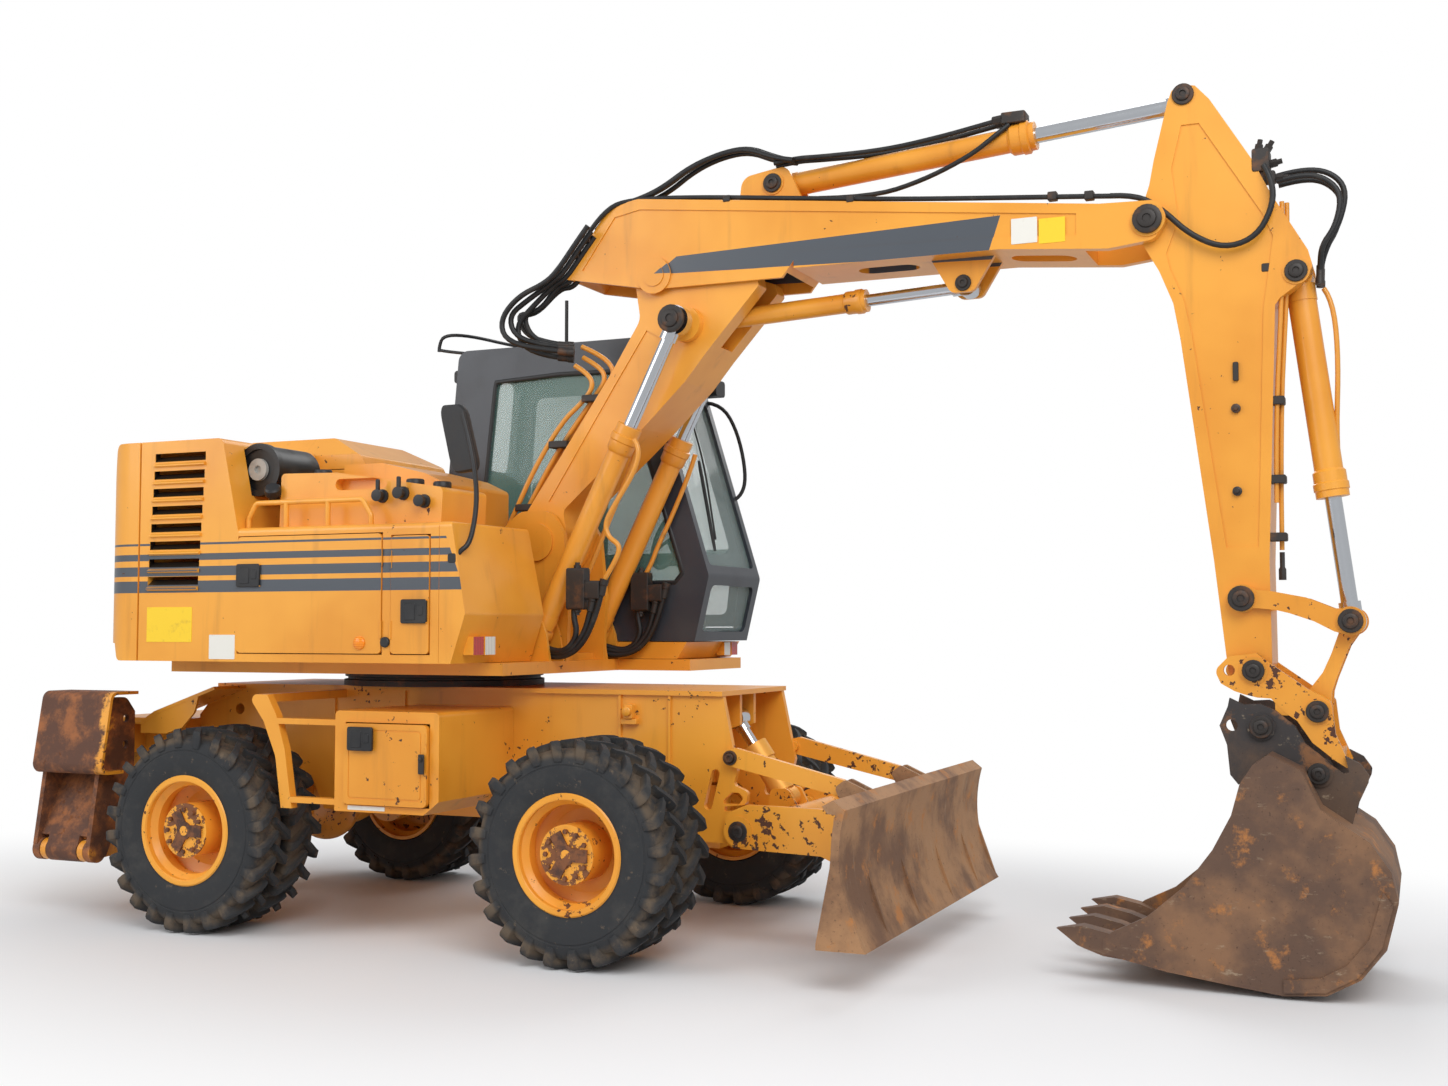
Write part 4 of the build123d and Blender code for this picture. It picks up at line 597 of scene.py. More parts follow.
# Lenses: the outer corner lamps are red, the inner ones clear, and ribbed inside; the side
# repeater is amber. The lamps' cases stay in the bodywork's colour.
def lens_coat():
    """Lens colours by place; ribs from a sine along the width."""
    coat = Finish("lens")
    ribs = (coat.axis("Y") * 420).math("SINE") * 0.5 + 0.5
    clear = coat.mix(ribs, rgb(196, 194, 186), rgb(236, 234, 226))
    red = coat.mix(ribs, rgb(150, 18, 14), rgb(206, 40, 28))
    colour = coat.mix(abs(coat.axis("Y")) > 1.027, clear, red)
    case = coat.facing("X").ramp(0.4, 0.6)
    return coat.end(Base_Color=coat.mix(case, paint_lit, colour), Roughness=0.18, Coat_Weight=0.5)


def amber_coat():
    """Amber moulded lens."""
    coat = Finish("amber")
    ribs = (coat.axis("Z") * 700).math("SINE") * 0.5 + 0.5
    return coat.end(Base_Color=coat.mix(ribs, rgb(236, 120, 16), rgb(255, 160, 40)), Roughness=0.2)


def red_coat():
    """Red moulded lens."""
    coat = Finish("red_lens")
    ribs = (coat.axis("Z") * 500).math("SINE") * 0.5 + 0.5
    return coat.end(Base_Color=coat.mix(ribs, rgb(150, 16, 14), rgb(214, 40, 30)), Roughness=0.2)


dress(lens_coat(), "lamps")
bezel = [(0, -0.02), (0.062, -0.02), (0.062, 0.006), (0.056, 0.010), (0.050, 0.006), (0, 0.006)]
dome = [(0, 0), (0.050, 0), (0.050, 0.008), (0.036, 0.018), (0, 0.022)]
rear_places = [(-3.001, y, 1.640) for y in (-0.82, 0.82)]
build("rear_lamp_bezels", [turned(bezel, place, (-1, 0, 0), 28) for place in rear_places], black, "house")
build("rear_lamps", [turned(dome, place, (-1, 0, 0), 28) for place in rear_places], red_coat(), "house")
build("side_repeater", [turned([(0, -0.01), (0.034, -0.01), (0.034, 0.006), (0.024, 0.015), (0, 0.018)],
                                       (-1.214, -1.2265, 1.559), (0, -1, 0), 24)], amber_coat(), "engine_door_right")
build("filler_cap", [turned([(0, -0.01), (0.027, -0.01), (0.027, 0.010), (0.022, 0.014), (0, 0.014)],
                            (-1.058, -1.2195, 1.564), (0, -1, 0))], black, "house")


# On the hoods: three black filler caps with grips round their edge, the operating knob beside
# the air cleaner, and the air cleaner itself, a black drum with a pale hub.
cap_profile = [(0, -0.05), (0.046, -0.05), (0.046, 0.028), (0.049, 0.030), (0.049, 0.052), (0.043, 0.060),
               (0.020, 0.060), (0.018, 0.052), (0, 0.052)]
knob_profile = [(0, 0), (0.03, 0), (0.03, 0.03), (0.045, 0.04), (0.045, 0.075), (0.036, 0.085), (0, 0.085)]
caps = [turned(cap_profile, (x, -0.88, 2.440 - 0.12 * (x + 1.720)), (0, 0, 1), 16) for x in (-1.720, -1.120, -0.950)]
knob = turned(knob_profile, (-1.905, -1.060, 2.33), (0.3, -0.6, 0.8), 18)
valve_profile = [(0, -0.01), (0.036, -0.01), (0.036, 0.012), (0.024, 0.016), (0.024, 0.040), (0.031, 0.044), (0.031, 0.062),
                 (0, 0.066)]
valves = [turned(valve_profile, (x, -1.070, z), (0, -1, 0), 14) for x, z in ((-1.190, 2.325), (-1.060, 2.335), (-0.930, 2.290))]
levers = [block((x - 0.010, -1.126, z - 0.01), (x + 0.010, -1.108, z + 0.085), corner=0.008)
          for x, z in ((-1.190, 2.325), (-1.060, 2.335))]
build("tank_caps", caps + [knob] + valves + levers, black, "house")


def cleaner_coat():
    """Black drum, and a pale worn hub within its dished cover."""
    coat = Finish("cleaner")
    along, up = coat.axis("X") + 2.030, coat.axis("Z") - 2.500
    radius = (along * along + up * up).math("SQRT")
    dust = coat.noise(9, 5).ramp(0.45, 0.75)
    hub = (radius < 0.061) & (coat.axis("Y") < -1.03)
    colour = coat.mix(dust * 0.4, rgb(26, 27, 29), rgb(78, 74, 68))
    colour = coat.mix(hub, colour, coat.mix(dust, rgb(176, 174, 168), rgb(118, 112, 104)))
    return coat.end(Base_Color=colour, Roughness=0.4 + dust * 0.3)


dress(cleaner_coat(), "air_cleaner")


# The cab is folded sheet in dark slate enamel, with dust on it. Its panes are faintly green
# safety glass, thin enough that the view through them shows, and painted a paler green where
# they face ahead: a painted reflection.
def slate_enamel(name, marks=None):
    """Dark blue-grey enamel, and a share of green glass where marks says so; glass that faces ahead is painted a paler
    green, a painted reflection.
    """
    coat = Finish(name)
    dust = coat.noise(2.2, 5).ramp(0.45, 0.8)
    colour = coat.mix(dust * 0.25, rgb(50, 55, 64), rgb(92, 92, 90))
    if marks is None:
        return coat.end(Base_Color=colour, Roughness=0.38 + dust * 0.2, Coat_Weight=0.2, Coat_Roughness=0.2)
    glazed = marks(coat)
    ahead = coat.facing("X")
    # Painted reflection: glass facing ahead is coloured pale green, glass facing aside a darker green
    green = coat.mix(ahead, rgb(120, 160, 152), rgb(205, 226, 224))
    return coat.end(Base_Color=coat.mix(glazed, colour, green), Roughness=0.38 - glazed * 0.32,
                    Alpha=1 - glazed * (0.60 - dust * 0.06 + ahead * 0.22))


def door_panes(coat):
    """Where the door's panes lie: a few millimetres either side of the door's middle."""
    return (abs(coat.axis("Y") - 1.178) < 0.004) & (coat.facing("Y") > 0.9)


dress(slate_enamel("slate"), "cab_shell")
dress(slate_enamel("slate_door", door_panes), "cab_door")
dress(slate_enamel("glass", lambda coat: coat.noise(1, 1).ramp(-2, -1)), "cab_glass")


# Cab fittings: black tube and cast brackets bolted to the slate sheet. A mirror stands on a
# bent tube from the corner of the body, grab rails flank the windscreen, a hoop and a pole
# stand on the roof, a working lamp looks ahead, and a wiper lies on the glass.
def tube(points, radius, across=(0, 1, 0), sides=10, steps=5):
    """A round section carried along a smooth line that touches the middle of each run between
    the points: every point inside bends the line as a parabola from one middle to the next."""
    points = np.array(points, dtype=float)
    middles = (points[:-1] + points[1:]) / 2
    starts = np.concatenate([points[:1], middles[1:]])[:len(points) - 2] if len(points) > 2 else points[:1]
    ends = np.concatenate([middles[1:-1], points[-1:]]) if len(points) > 2 else points[-1:]
    bends = points[1:-1] if len(points) > 2 else (points[:1] + points[-1:]) / 2
    share = np.linspace(0, 1, steps, endpoint=False)[None, :, None]
    line = (1 - share) ** 2 * starts[:, None] + 2 * share * (1 - share) * bends[:, None] + share ** 2 * ends[:, None]
    line = np.concatenate([line.reshape(-1, 3), points[-1:]])
    along = np.gradient(line, axis=0)
    along /= np.linalg.norm(along, axis=1, keepdims=True)
    aside = np.cross(along, across)
    aside /= np.linalg.norm(aside, axis=1, keepdims=True)
    square = np.cross(along, aside)
    angle = np.linspace(0, 2 * math.pi, sides, endpoint=False)[:, None]
    radius = np.broadcast_to(radius, len(line))[:, None, None]
    return skin(line[:, None] + radius * (np.cos(angle) * aside[:, None] + np.sin(angle) * square[:, None]))


def slab(corners, thick, across, rounding=0.22):
    """A four-cornered plate carried a little way along across: each corner is a parabola between
    points a share of the way along its two sides, and the edges are drawn in."""
    corners, across = np.array(corners, dtype=float), np.array(across, dtype=float)
    share = np.linspace(0, 1, 6)[None, :, None]
    before, after = np.roll(corners, 1, axis=0)[:, None], np.roll(corners, -1, axis=0)[:, None]
    here = corners[:, None]
    corners = ((1 - share) ** 2 * (here + (before - here) * rounding) + 2 * share * (1 - share) * here
               + share ** 2 * (here + (after - here) * rounding)).reshape(-1, 3)
    middle = corners.mean(axis=0)
    drawn = corners + (middle - corners) * 0.05
    return skin(np.stack([drawn - across * thick, corners - across * thick * 0.6, corners + across * thick * 0.6,
                          drawn + across * thick]))


mirror_tube = [(-0.660, -1.195, 1.990), (-0.640, -1.190, 2.020), (-0.600, -1.150, 2.060), (-0.625, -1.050, 2.270),
               (-0.700, -0.960, 2.470), (-0.760, -0.930, 2.640), (-0.800, -0.925, 2.760)]
mirror = [tube(mirror_tube, 0.013),
          slab([(-0.975, -0.86, 2.815), (-0.800, -0.90, 2.810), (-0.695, -0.92, 2.455), (-0.872, -0.88, 2.445)], 0.022,
               (0.22, 0.97, 0)),
          block((-0.690, -1.222, 1.960), (-0.640, -1.160, 2.010))]
build("side_mirror", mirror, black, "house")
cab_rails = [
    tube([(-0.350, 1.180, 3.060), (-0.250, 1.205, 3.050), (-0.140, 1.205, 2.860), (-0.085, 1.205, 2.600),
          (-0.110, 1.205, 2.470), (-0.150, 1.180, 2.440)], 0.012),
    tube([(-1.900, 0.50, 3.385), (-1.900, 0.50, 3.420), (-1.870, 0.50, 3.490), (-1.760, 0.62, 3.500),
          (-1.700, 1.02, 3.500), (-1.640, 1.12, 3.495), (-1.620, 1.12, 3.380)], 0.011, (0.3, 0.2, 0.93)),
    tube([(-1.690, 0.50, 3.360), (-1.900, 0.50, 3.390), (-1.900, 0.50, 3.400)], 0.010, (0.1, 1, 0)),
    tube([(-1.035, 0.60, 3.370), (-1.035, 0.60, 3.660)], 0.011),
    block((-1.800, 0.520, 3.180), (-1.735, 0.700, 3.260), corner=0.02),
    block((-0.290, 0.930, 3.065), (-0.170, 1.070, 3.165), "x", corner=0.022),
    tube([(-0.360, 1.000, 3.060), (-0.280, 1.000, 3.110)], 0.014),
]
build("cab_rails", cab_rails, black, "house")
wiper = [tube([(-0.286, 0.790, 2.940), (-0.200, 0.800, 2.690), (-0.060, 0.640, 2.250), (-0.035, 0.620, 2.160)], 0.006),
         slab([(-0.190, 0.70, 2.640), (-0.180, 0.715, 2.640), (-0.022, 0.60, 2.090), (-0.032, 0.585, 2.090)], 0.004,
              (0.95, 0, 0.3))]
build("wiper", wiper, black, "house")

# Window seals: a black rubber bead all round the side pane, the windscreen's glass and the door's
# upper pane, pressed over the sheet's edge
seals = []
for y, outline in ((0.4185, [(-1.500, 2.500), (-1.466, 2.830), (-1.430, 3.150), (-0.980, 3.172), (-0.560, 3.165),
                             (-0.360, 2.560), (-0.155, 1.960), (-0.205, 1.902), (-0.840, 1.900), (-1.475, 1.905),
                             (-1.492, 2.200)]),
                   (1.2015, [(-1.070, 2.100), (-1.070, 2.600), (-1.066, 3.125), (-0.780, 3.130), (-0.482, 3.125),
                             (-0.325, 2.610), (-0.172, 2.105), (-0.600, 2.100)])):
    route = np.array(outline + outline[:1])
    fine = np.concatenate([np.linspace(a, b, 8, endpoint=False) for a, b in zip(route[:-1], route[1:])])
    along = np.roll(fine, -1, axis=0) - np.roll(fine, 1, axis=0)
    aside = np.stack([along[:, 1], -along[:, 0]], axis=1) / np.linalg.norm(along, axis=1, keepdims=True)
    angle = np.linspace(0, 2 * math.pi, 8, endpoint=False)
    shift = aside[:, None] * np.cos(angle)[None, :, None] * 0.013
    ring = np.stack([fine[:, None, 0] + shift[..., 0], np.broadcast_to(y + 0.005 * np.sin(angle), (len(fine), 8)),
                     fine[:, None, 1] + shift[..., 1]], axis=-1)
    seals.append(skin(ring, wrap=True))
build("side_seal", seals[:1], black, "house")
build("door_seal", seals[1:], black, "cab_door")


# The driver's seat: two foam pads under woven cloth on a sprung pedestal. Each pad is crowned,
# pulls in between its corners and has two sewn channels down it; piping runs round its edge.
def seat_cloth():
    """Dark cloth: a weave from two crossed sines, and lint from noise."""
    coat = Finish("seat_cloth")
    weave = (coat.axis("X") * 2600).math("SINE") * (coat.axis("Y") * 2600).math("SINE")
    lint = coat.noise(60, 4)
    return coat.end(Base_Color=coat.mix(lint, rgb(38, 40, 44), rgb(70, 72, 78)), Roughness=0.92,
                    Normal=coat.bump(weave * 0.5 + lint * 0.3, 0.4, 0.001))


def pad(centre, size, tilt, crown):
    """A crowned pad: a rounded square on a grid, thick by a crown that falls to its edge with a
    fourth power, sides pulled in between the corners, channels as narrow dips across y."""
    u, v = np.meshgrid(np.linspace(-1, 1, 48), np.linspace(-1, 1, 48), indexing="ij")
    pull = 1 - 0.045 * np.cos(v * math.pi / 2) ** 2
    x = u * np.sqrt(1 - 0.22 * v ** 2) * pull
    y = v * np.sqrt(1 - 0.22 * u ** 2) * (1 - 0.045 * np.cos(u * math.pi / 2) ** 2)
    rise = (1 - np.maximum(np.abs(u), np.abs(v)) ** 6) ** 0.5
    channel = sum(np.exp(-((v - spot) / 0.035) ** 2) for spot in (-0.34, 0.34)) * np.clip(1 - np.abs(u), 0, 0.2) * 5
    top = rise * (0.5 + crown * np.cos(u * 1.3) * np.cos(v * 1.3)) - 0.13 * channel * rise
    faces = []
    for height in (top, -0.5 * rise):
        local = np.stack([x * size[0] / 2, y * size[1] / 2, height * size[2]], axis=-1)
        c, s = math.cos(tilt), math.sin(tilt)
        turned_x = local[..., 0] * c + local[..., 2] * s
        turned_z = -local[..., 0] * s + local[..., 2] * c
        faces.append(np.stack([turned_x, local[..., 1], turned_z], axis=-1) + np.array(centre))
    index = np.arange(48 * 48).reshape(48, 48)
    quads = np.stack([index[:-1, :-1], index[1:, :-1], index[1:, 1:], index[:-1, 1:]], axis=-1).reshape(-1, 4)
    points = np.concatenate([face.reshape(-1, 3) for face in faces])
    return points, quads.tolist() + (quads[:, ::-1] + 48 * 48).tolist()


cloth = seat_cloth()
seat_pads = build("seat_pads", [pad((-1.010, 0.805, 1.960), (0.47, 0.47, 0.10), 0.06, 0.16),
                                pad((-1.262, 0.805, 2.300), (0.56, 0.43, 0.11), -1.49, 0.16)], cloth, "house", 60)
seat_base = build("seat_base", [block((-1.150, 0.650, 1.612), (-0.850, 0.950, 1.700), "z", 0.03),
                                block((-1.120, 0.690, 1.700), (-0.880, 0.920, 1.900), "z", 0.04, 0.01),
                                tube([(-1.22, 0.575, 1.97), (-1.22, 0.575, 2.16), (-0.98, 0.575, 2.17)], 0.020),
                                tube([(-1.22, 1.035, 1.97), (-1.22, 1.035, 2.16), (-0.98, 1.035, 2.17)], 0.020)],
                  black, "house")
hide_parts("cab_seat")

# Driver's controls: steering wheel on its raked column, and a lever pillar on each side
wheel_turn = np.linspace(0, 2 * math.pi, 40, endpoint=False)
wheel_rim = np.stack([-0.420 + 0.075 * np.cos(wheel_turn), 0.805 + 0.19 * np.sin(wheel_turn),
                      2.180 + 0.175 * np.cos(wheel_turn)], axis=-1)
wheel_away = np.stack([0.39 * np.cos(wheel_turn), np.sin(wheel_turn), 0.92 * np.cos(wheel_turn)], axis=-1)
wheel_axis = np.array([0.92, 0, -0.39])
section = np.linspace(0, 2 * math.pi, 8, endpoint=False)
wheel_ring = wheel_rim[:, None] + 0.014 * (np.cos(section)[None, :, None] * wheel_away[:, None]
                                           + np.sin(section)[None, :, None] * wheel_axis)
controls = [skin(wheel_ring, wrap=True), tube([(-0.200, 0.805, 1.64), (-0.280, 0.805, 1.90), (-0.420, 0.805, 2.180)], 0.03),
            tube([(-0.470, 0.640, 2.080), (-0.370, 0.970, 2.280)], 0.010, (1, 0, 0)),
            block((-0.960, 0.500, 1.612), (-0.700, 0.560, 2.060), "z", 0.02), tube([(-0.78, 0.53, 2.05), (-0.75, 0.53, 2.22)], 0.014),
            block((-0.960, 1.060, 1.612), (-0.700, 1.120, 2.060), "z", 0.02), tube([(-0.78, 1.09, 2.05), (-0.75, 1.09, 2.22)], 0.014)]
build("controls", controls, black, "house")


# The upper boom's side: a slate band that leans back, widening towards the stick, where the
# photographed one carries lettering; here it stays plain. Greasy streaks lie under the pins.
def boom_band(coat, colour):
    """Slate between a rising and a falling line along the boom's side, cut by slanting lines."""
    along, height = coat.axis("X"), coat.axis("Z")
    under = height < 3.653 + along * 0.0224
    over = height > 3.567 - along * 0.0346
    cut = (along > (height - 3.568) * 1.45 - 0.026) & (along < (height - 3.504) * 0.33 + 1.826)
    return coat.mix(under & over & cut & coat.facing("Y").ramp(0.8, 0.9), colour, stripe_slate)


dress(painted("paint_boom", 0.1, boom_band), "upper_boom")


# Cylinder glands: a thicker head is screwed on to each barrel's end and held by eight bolts
def gland(foot, head, y, along, radius):
    """A collar a given way along a cylinder's line, and a bolt's head every eighth of a turn."""
    start, finish = np.array([foot[0], y, foot[1]]), np.array([head[0], y, head[1]])
    way = (finish - start) / np.linalg.norm(finish - start)
    collar = turned([(0, -0.075), (radius * 0.96, -0.075), (radius * 1.14, -0.060), (radius * 1.14, -0.012), (radius * 1.22, -0.006),
                     (radius * 1.22, 0.026), (radius * 1.05, 0.034), (0, 0.034)], start + way * along, way, 28)
    up = np.cross(way, (0, 1, 0))
    bolts = [turned([(0, 0.02), (0.011, 0.02), (0.011, 0.040), (0.008, 0.043), (0, 0.043)],
                    start + way * along + radius * 0.86 * (math.cos(a) * up + math.sin(a) * np.array([0, 1, 0])), way, 6)
             for a in np.arange(8) * math.pi / 4]
    return [collar] + bolts


for name, body, glands in (
    ("lift_glands", "lift_barrels", [((-0.670, 1.612), (0.155, 3.278), y, 1.155, 0.064) for y in (-0.330, 0.330)]),
    ("adjust_gland", "adjust_barrel", [((0.170, 3.322), (1.666, 3.397), 0, 0.900, 0.054)]),
    ("stick_gland", "stick_barrel", [((0.620, 4.030), (2.775, 4.205), 0, 1.350, 0.070)]),
    ("bucket_gland", "bucket_barrel", [((3.274, 3.300), (3.481, 1.668), 0, 1.000, 0.066)]),
):
    build(name, [part for place in glands for part in gland(*place)], paint, body)


# Steel pipes: yellow-painted hydraulic lines, clipped along the lower boom's back, up the lift
# cylinders and down the stick's front. Clamps are short black blocks over each set.
def pipe_coat():
    """Enamel, worn to bright steel in places."""
    coat = Finish("pipe_enamel")
    broad = coat.noise(4, 5)
    return coat.end(Base_Color=coat.mix(broad.ramp(0.6, 0.75), rgb(226, 152, 50), rgb(128, 96, 60)), Roughness=0.4,
                    Coat_Weight=0.3)


pipes = pipe_coat()
lower_pipes = [
    tube([(-1.000, -0.150, 2.190), (-0.960, -0.150, 2.260), (-0.825, -0.150, 2.530), (-0.640, -0.150, 2.800),
          (-0.510, -0.150, 2.900), (-0.440, -0.150, 2.985), (-0.475, -0.150, 3.060), (-0.560, -0.150, 3.110)], 0.014),
    tube([(-0.960, -0.110, 2.180), (-0.900, -0.110, 2.290), (-0.700, -0.110, 2.630), (-0.430, -0.110, 2.960),
          (-0.385, -0.110, 3.030), (-0.420, -0.110, 3.100), (-0.530, -0.110, 3.160)], 0.014),
    tube([(-0.940, -0.070, 2.220), (-0.800, -0.070, 2.480), (-0.560, -0.070, 2.800), (-0.370, -0.070, 3.030),
          (-0.355, -0.070, 3.090), (-0.430, -0.070, 3.170), (-0.560, -0.070, 3.230)], 0.014),
]
build("lower_boom_pipes", lower_pipes, pipes, "lower_boom")
lower_clamps = [block((x - 0.03, -0.172, z - 0.03), (x + 0.09, -0.05, z + 0.008), "z", corner=0.01)
                for x, z in ((-0.905, 2.330), (-0.690, 2.680), (-0.480, 2.930))]
build("lower_boom_clamps", lower_clamps, dark_steel, "lower_boom")
lift_pipes = [tube([(-0.060, -0.400, 2.640), (-0.020, -0.405, 2.590), (-0.058, -0.405, 2.464), (-0.150, -0.405, 2.330),
                    (-0.235, -0.405, 2.200), (-0.210, -0.405, 2.120), (-0.140, -0.405, 2.080), (-0.155, -0.405, 2.010),
                    (-0.230, -0.405, 1.900)], 0.014),
              tube([(-0.130, -0.225, 2.640), (-0.160, -0.225, 2.520), (-0.300, -0.225, 2.230), (-0.400, -0.225, 2.000),
                    (-0.450, -0.225, 1.900)], 0.014),
              tube([(-0.060, 0.385, 2.640), (-0.090, 0.390, 2.552), (-0.230, 0.390, 2.247), (-0.300, 0.380, 2.110),
                    (-0.340, 0.375, 2.000), (-0.400, 0.365, 1.900)], 0.014)]
build("lift_pipes", lift_pipes, pipes, "lift_barrels")
stick_pipes = [tube([(x_top, y, 3.640), (x_top, y, 3.300), (x_low, y, 2.600), (x_low, y, z_end)], 0.011)
               for x_top, x_low, y, z_end in ((3.235, 3.185, -0.105, 2.000), (3.215, 3.168, -0.140, 2.220))]
build("stick_pipes", stick_pipes, pipes, "stick")
stick_clamps = [block((3.120, -0.162, z - 0.02), (3.212 + 0.018 * (z > 3), -0.085, z + 0.02), corner=0.008)
                for z in (3.330, 2.700, 2.330, 2.060)]
stick_clamps += [turned([(0, 0), (0.019, 0), (0.019, 0.05), (0.013, 0.06), (0.013, 0.13), (0, 0.13)], (3.185, -0.105, 1.860),
                        (0, 0, 1), 6)]
build("stick_clamps", stick_clamps, dark_steel, "stick")
grease_points = [turned([(0, -0.01), (0.022, -0.01), (0.022, 0.008), (0.012, 0.012), (0.010, 0.022), (0, 0.024)],
                        (2.995, -0.165, z), (0, -1, 0), 14) for z in (2.670, 2.278)]
grease_points += [block((2.984, -0.176, 2.800), (3.010, -0.160, 2.890), corner=0.008)]
build("grease_points", grease_points, dark_steel, "stick")


# Hoses: black rubber over steel braid with crimped steel ends. They loop behind the joint of
# the two booms, run along the stick cylinder and over the stick's head, and hang at the feet
# of the lift cylinders.
def hose_rubber():
    """Black rubber, dusty on top, with a faint wrap pattern."""
    coat = Finish("hose_rubber")
    dust = coat.noise(14, 5).ramp(0.5, 0.8)
    return coat.end(Base_Color=coat.mix(dust * 0.45, rgb(27, 28, 30), rgb(82, 78, 72)), Roughness=0.5 + dust * 0.3,
                    Normal=coat.bump(coat.noise(260, 2), 0.15, 0.001))


def crimp(points, radius, first=True):
    """The steel end of a hose: a collar and a hexagon round its first or last run."""
    a, b = (np.array(points[0]), np.array(points[1])) if first else (np.array(points[-1]), np.array(points[-2]))
    along = (b - a) / np.linalg.norm(b - a)
    return turned([(0, -0.012), (radius * 1.5, -0.012), (radius * 1.5, 0.018), (radius * 1.28, 0.022), (radius * 1.28, 0.075),
                   (radius, 0.080), (0, 0.080)], a, along, 12)


hose = hose_rubber()
hinge_hoses, hinge_ends = [], []
for shift, (y, reach, z_low) in enumerate(((-0.300, -0.965, 3.170), (-0.262, -0.930, 3.200), (-0.224, -0.905, 3.150),
                                           (-0.186, -0.880, 3.220), (-0.148, -0.940, 3.240))):
    step = 0.022 * shift
    route = [(-0.535 - step, y + 0.07, z_low), (-0.640 - step, y + 0.03, z_low + 0.01), (reach + 0.05, y, z_low + 0.07),
             (reach, y, z_low + 0.20), (reach + 0.12, y, 3.500 - step), (-0.660, y, 3.560), (-0.575, y, 3.640 - step),
             (-0.500, y, 3.735 - step), (-0.400, y, 3.855 - step)]
    hinge_hoses.append(tube(route, 0.0155))
    hinge_ends.append(crimp(route, 0.0155))
hinge_loops = build("hinge_hoses", hinge_hoses, hose)
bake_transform(hinge_loops)
build("hinge_hose_ends", hinge_ends, dark_steel, "lower_boom")
boom_hoses = [
    tube([(-0.400, y, 3.850), (-0.330, y, 3.925), (-0.250, y, 3.985 + lift), (-0.100, y, 4.015 + lift), (0.020, y, 4.060 + lift),
          (0.150, y * 0.8, 4.160 + lift), (0.300, y * 0.6, 4.225 + lift), (0.480, y * 0.6, 4.240 + lift),
          (0.640, y * 0.7, 4.160 + lift), (0.760, y * 0.8, 4.125)], 0.0145)
    for y, lift in ((-0.200, -0.006), (-0.160, 0.006), (-0.120, -0.012))
]
boom_hoses += [tube([(-0.420, -0.240, 3.840), (-0.330, -0.240, 3.950), (-0.200, -0.205, 4.005), (0.200, -0.205, 3.975),
                     (0.820, -0.205, 3.900), (1.400, -0.205, 3.832), (2.120, -0.205, 3.765), (2.340, -0.205, 3.745),
                     (2.440, -0.205, 3.735)], 0.013)]
build("boom_hoses", boom_hoses, hose, "upper_boom")
boom_clamps = [block((x - 0.022, y - 0.024, z - 0.022), (x + 0.022, y + 0.024, z + 0.022), "x", corner=0.008)
               for x, y, z in ((-0.510, -0.224, 3.720), (-0.440, -0.224, 3.800), (2.150, -0.205, 3.764), (2.330, -0.205, 3.748))]
boom_clamps += [block((x - 0.02, -0.228, z - 0.022), (x + 0.02, -0.185, z + 0.014), "x", corner=0.006)
                for x, z in ((0.40, 3.945), (1.10, 3.868))]
build("boom_clamps", boom_clamps, dark_steel, "upper_boom")

# Hoses along the stick cylinder: two over its top to the ports at its gland, one below
cylinder_hoses = [
    tube([(0.640, y_low, z), (0.760, y_low, z + 0.015), (0.900, y_low, z + 0.005), (1.240, y, 4.150), (1.560, y, 4.185),
          (1.750, y, 4.215), (1.880, y, 4.235)], 0.013)
    for y_low, z, y in ((-0.130, 4.128, -0.055), (-0.095, 4.120, 0.020))
]
cylinder_hoses += [tube([(0.900, -0.150, 3.905), (1.180, -0.110, 3.890), (1.450, -0.095, 3.950), (1.700, -0.090, 4.050),
                         (1.830, -0.085, 4.140), (1.900, -0.060, 4.200)], 0.013)]
stick_hoses = build("cylinder_hoses", cylinder_hoses, hose)
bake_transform(stick_hoses)
ports = [block((1.860, -0.075, 4.205), (1.985, 0.040, 4.262), "z", corner=0.012),
         turned([(0, 0), (0.021, 0), (0.021, 0.045), (0.015, 0.05), (0, 0.05)], (1.862, -0.055, 4.235), (-1, 0, -0.1), 6),
         turned([(0, 0), (0.021, 0), (0.021, 0.045), (0.015, 0.05), (0, 0.05)], (1.862, 0.020, 4.235), (-1, 0, -0.1), 6)]
build("cylinder_ports", ports, dark_steel, "stick_barrel")

# Hoses round the stick's pivot: one hangs in a long bow from the boom's side to the valve block
# on the stick; a second route inside it is listed, and only the first is built
pivot_routes = [[(2.430, y, 3.737), (2.560, y, 3.730), (2.680, y, 3.640), (2.800, y, 3.510), (2.960, y, 3.425), (3.110, y, 3.470),
                 (3.185, y, 3.620), (3.175, y, 3.740), (3.140, y + 0.02, 3.810)] for y in (-0.205, -0.240)]
pivot_hoses = build("pivot_hoses", [tube(route, 0.014) for route in pivot_routes[:1]], hose)
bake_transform(pivot_hoses)
valve_block = [block((3.085, -0.170, 3.790), (3.165, -0.060, 3.900), corner=0.012),
               block((3.120, -0.160, 3.740), (3.190, -0.080, 3.790), corner=0.012)]
valve_block += [turned([(0, 0), (0.020, 0), (0.020, 0.035), (0.013, 0.04), (0.013, 0.06), (0, 0.06)], place, way, 6)
                for place, way in (((3.110, -0.115, 3.895), (0.2, 0, 1)), ((3.145, -0.115, 3.890), (0.6, 0, 1)),
                                   ((3.160, -0.115, 3.830), (1, 0, 0.2)), ((3.185, -0.120, 3.760), (1, 0, 0)))]
build("valve_block", valve_block, dark_steel, "stick")

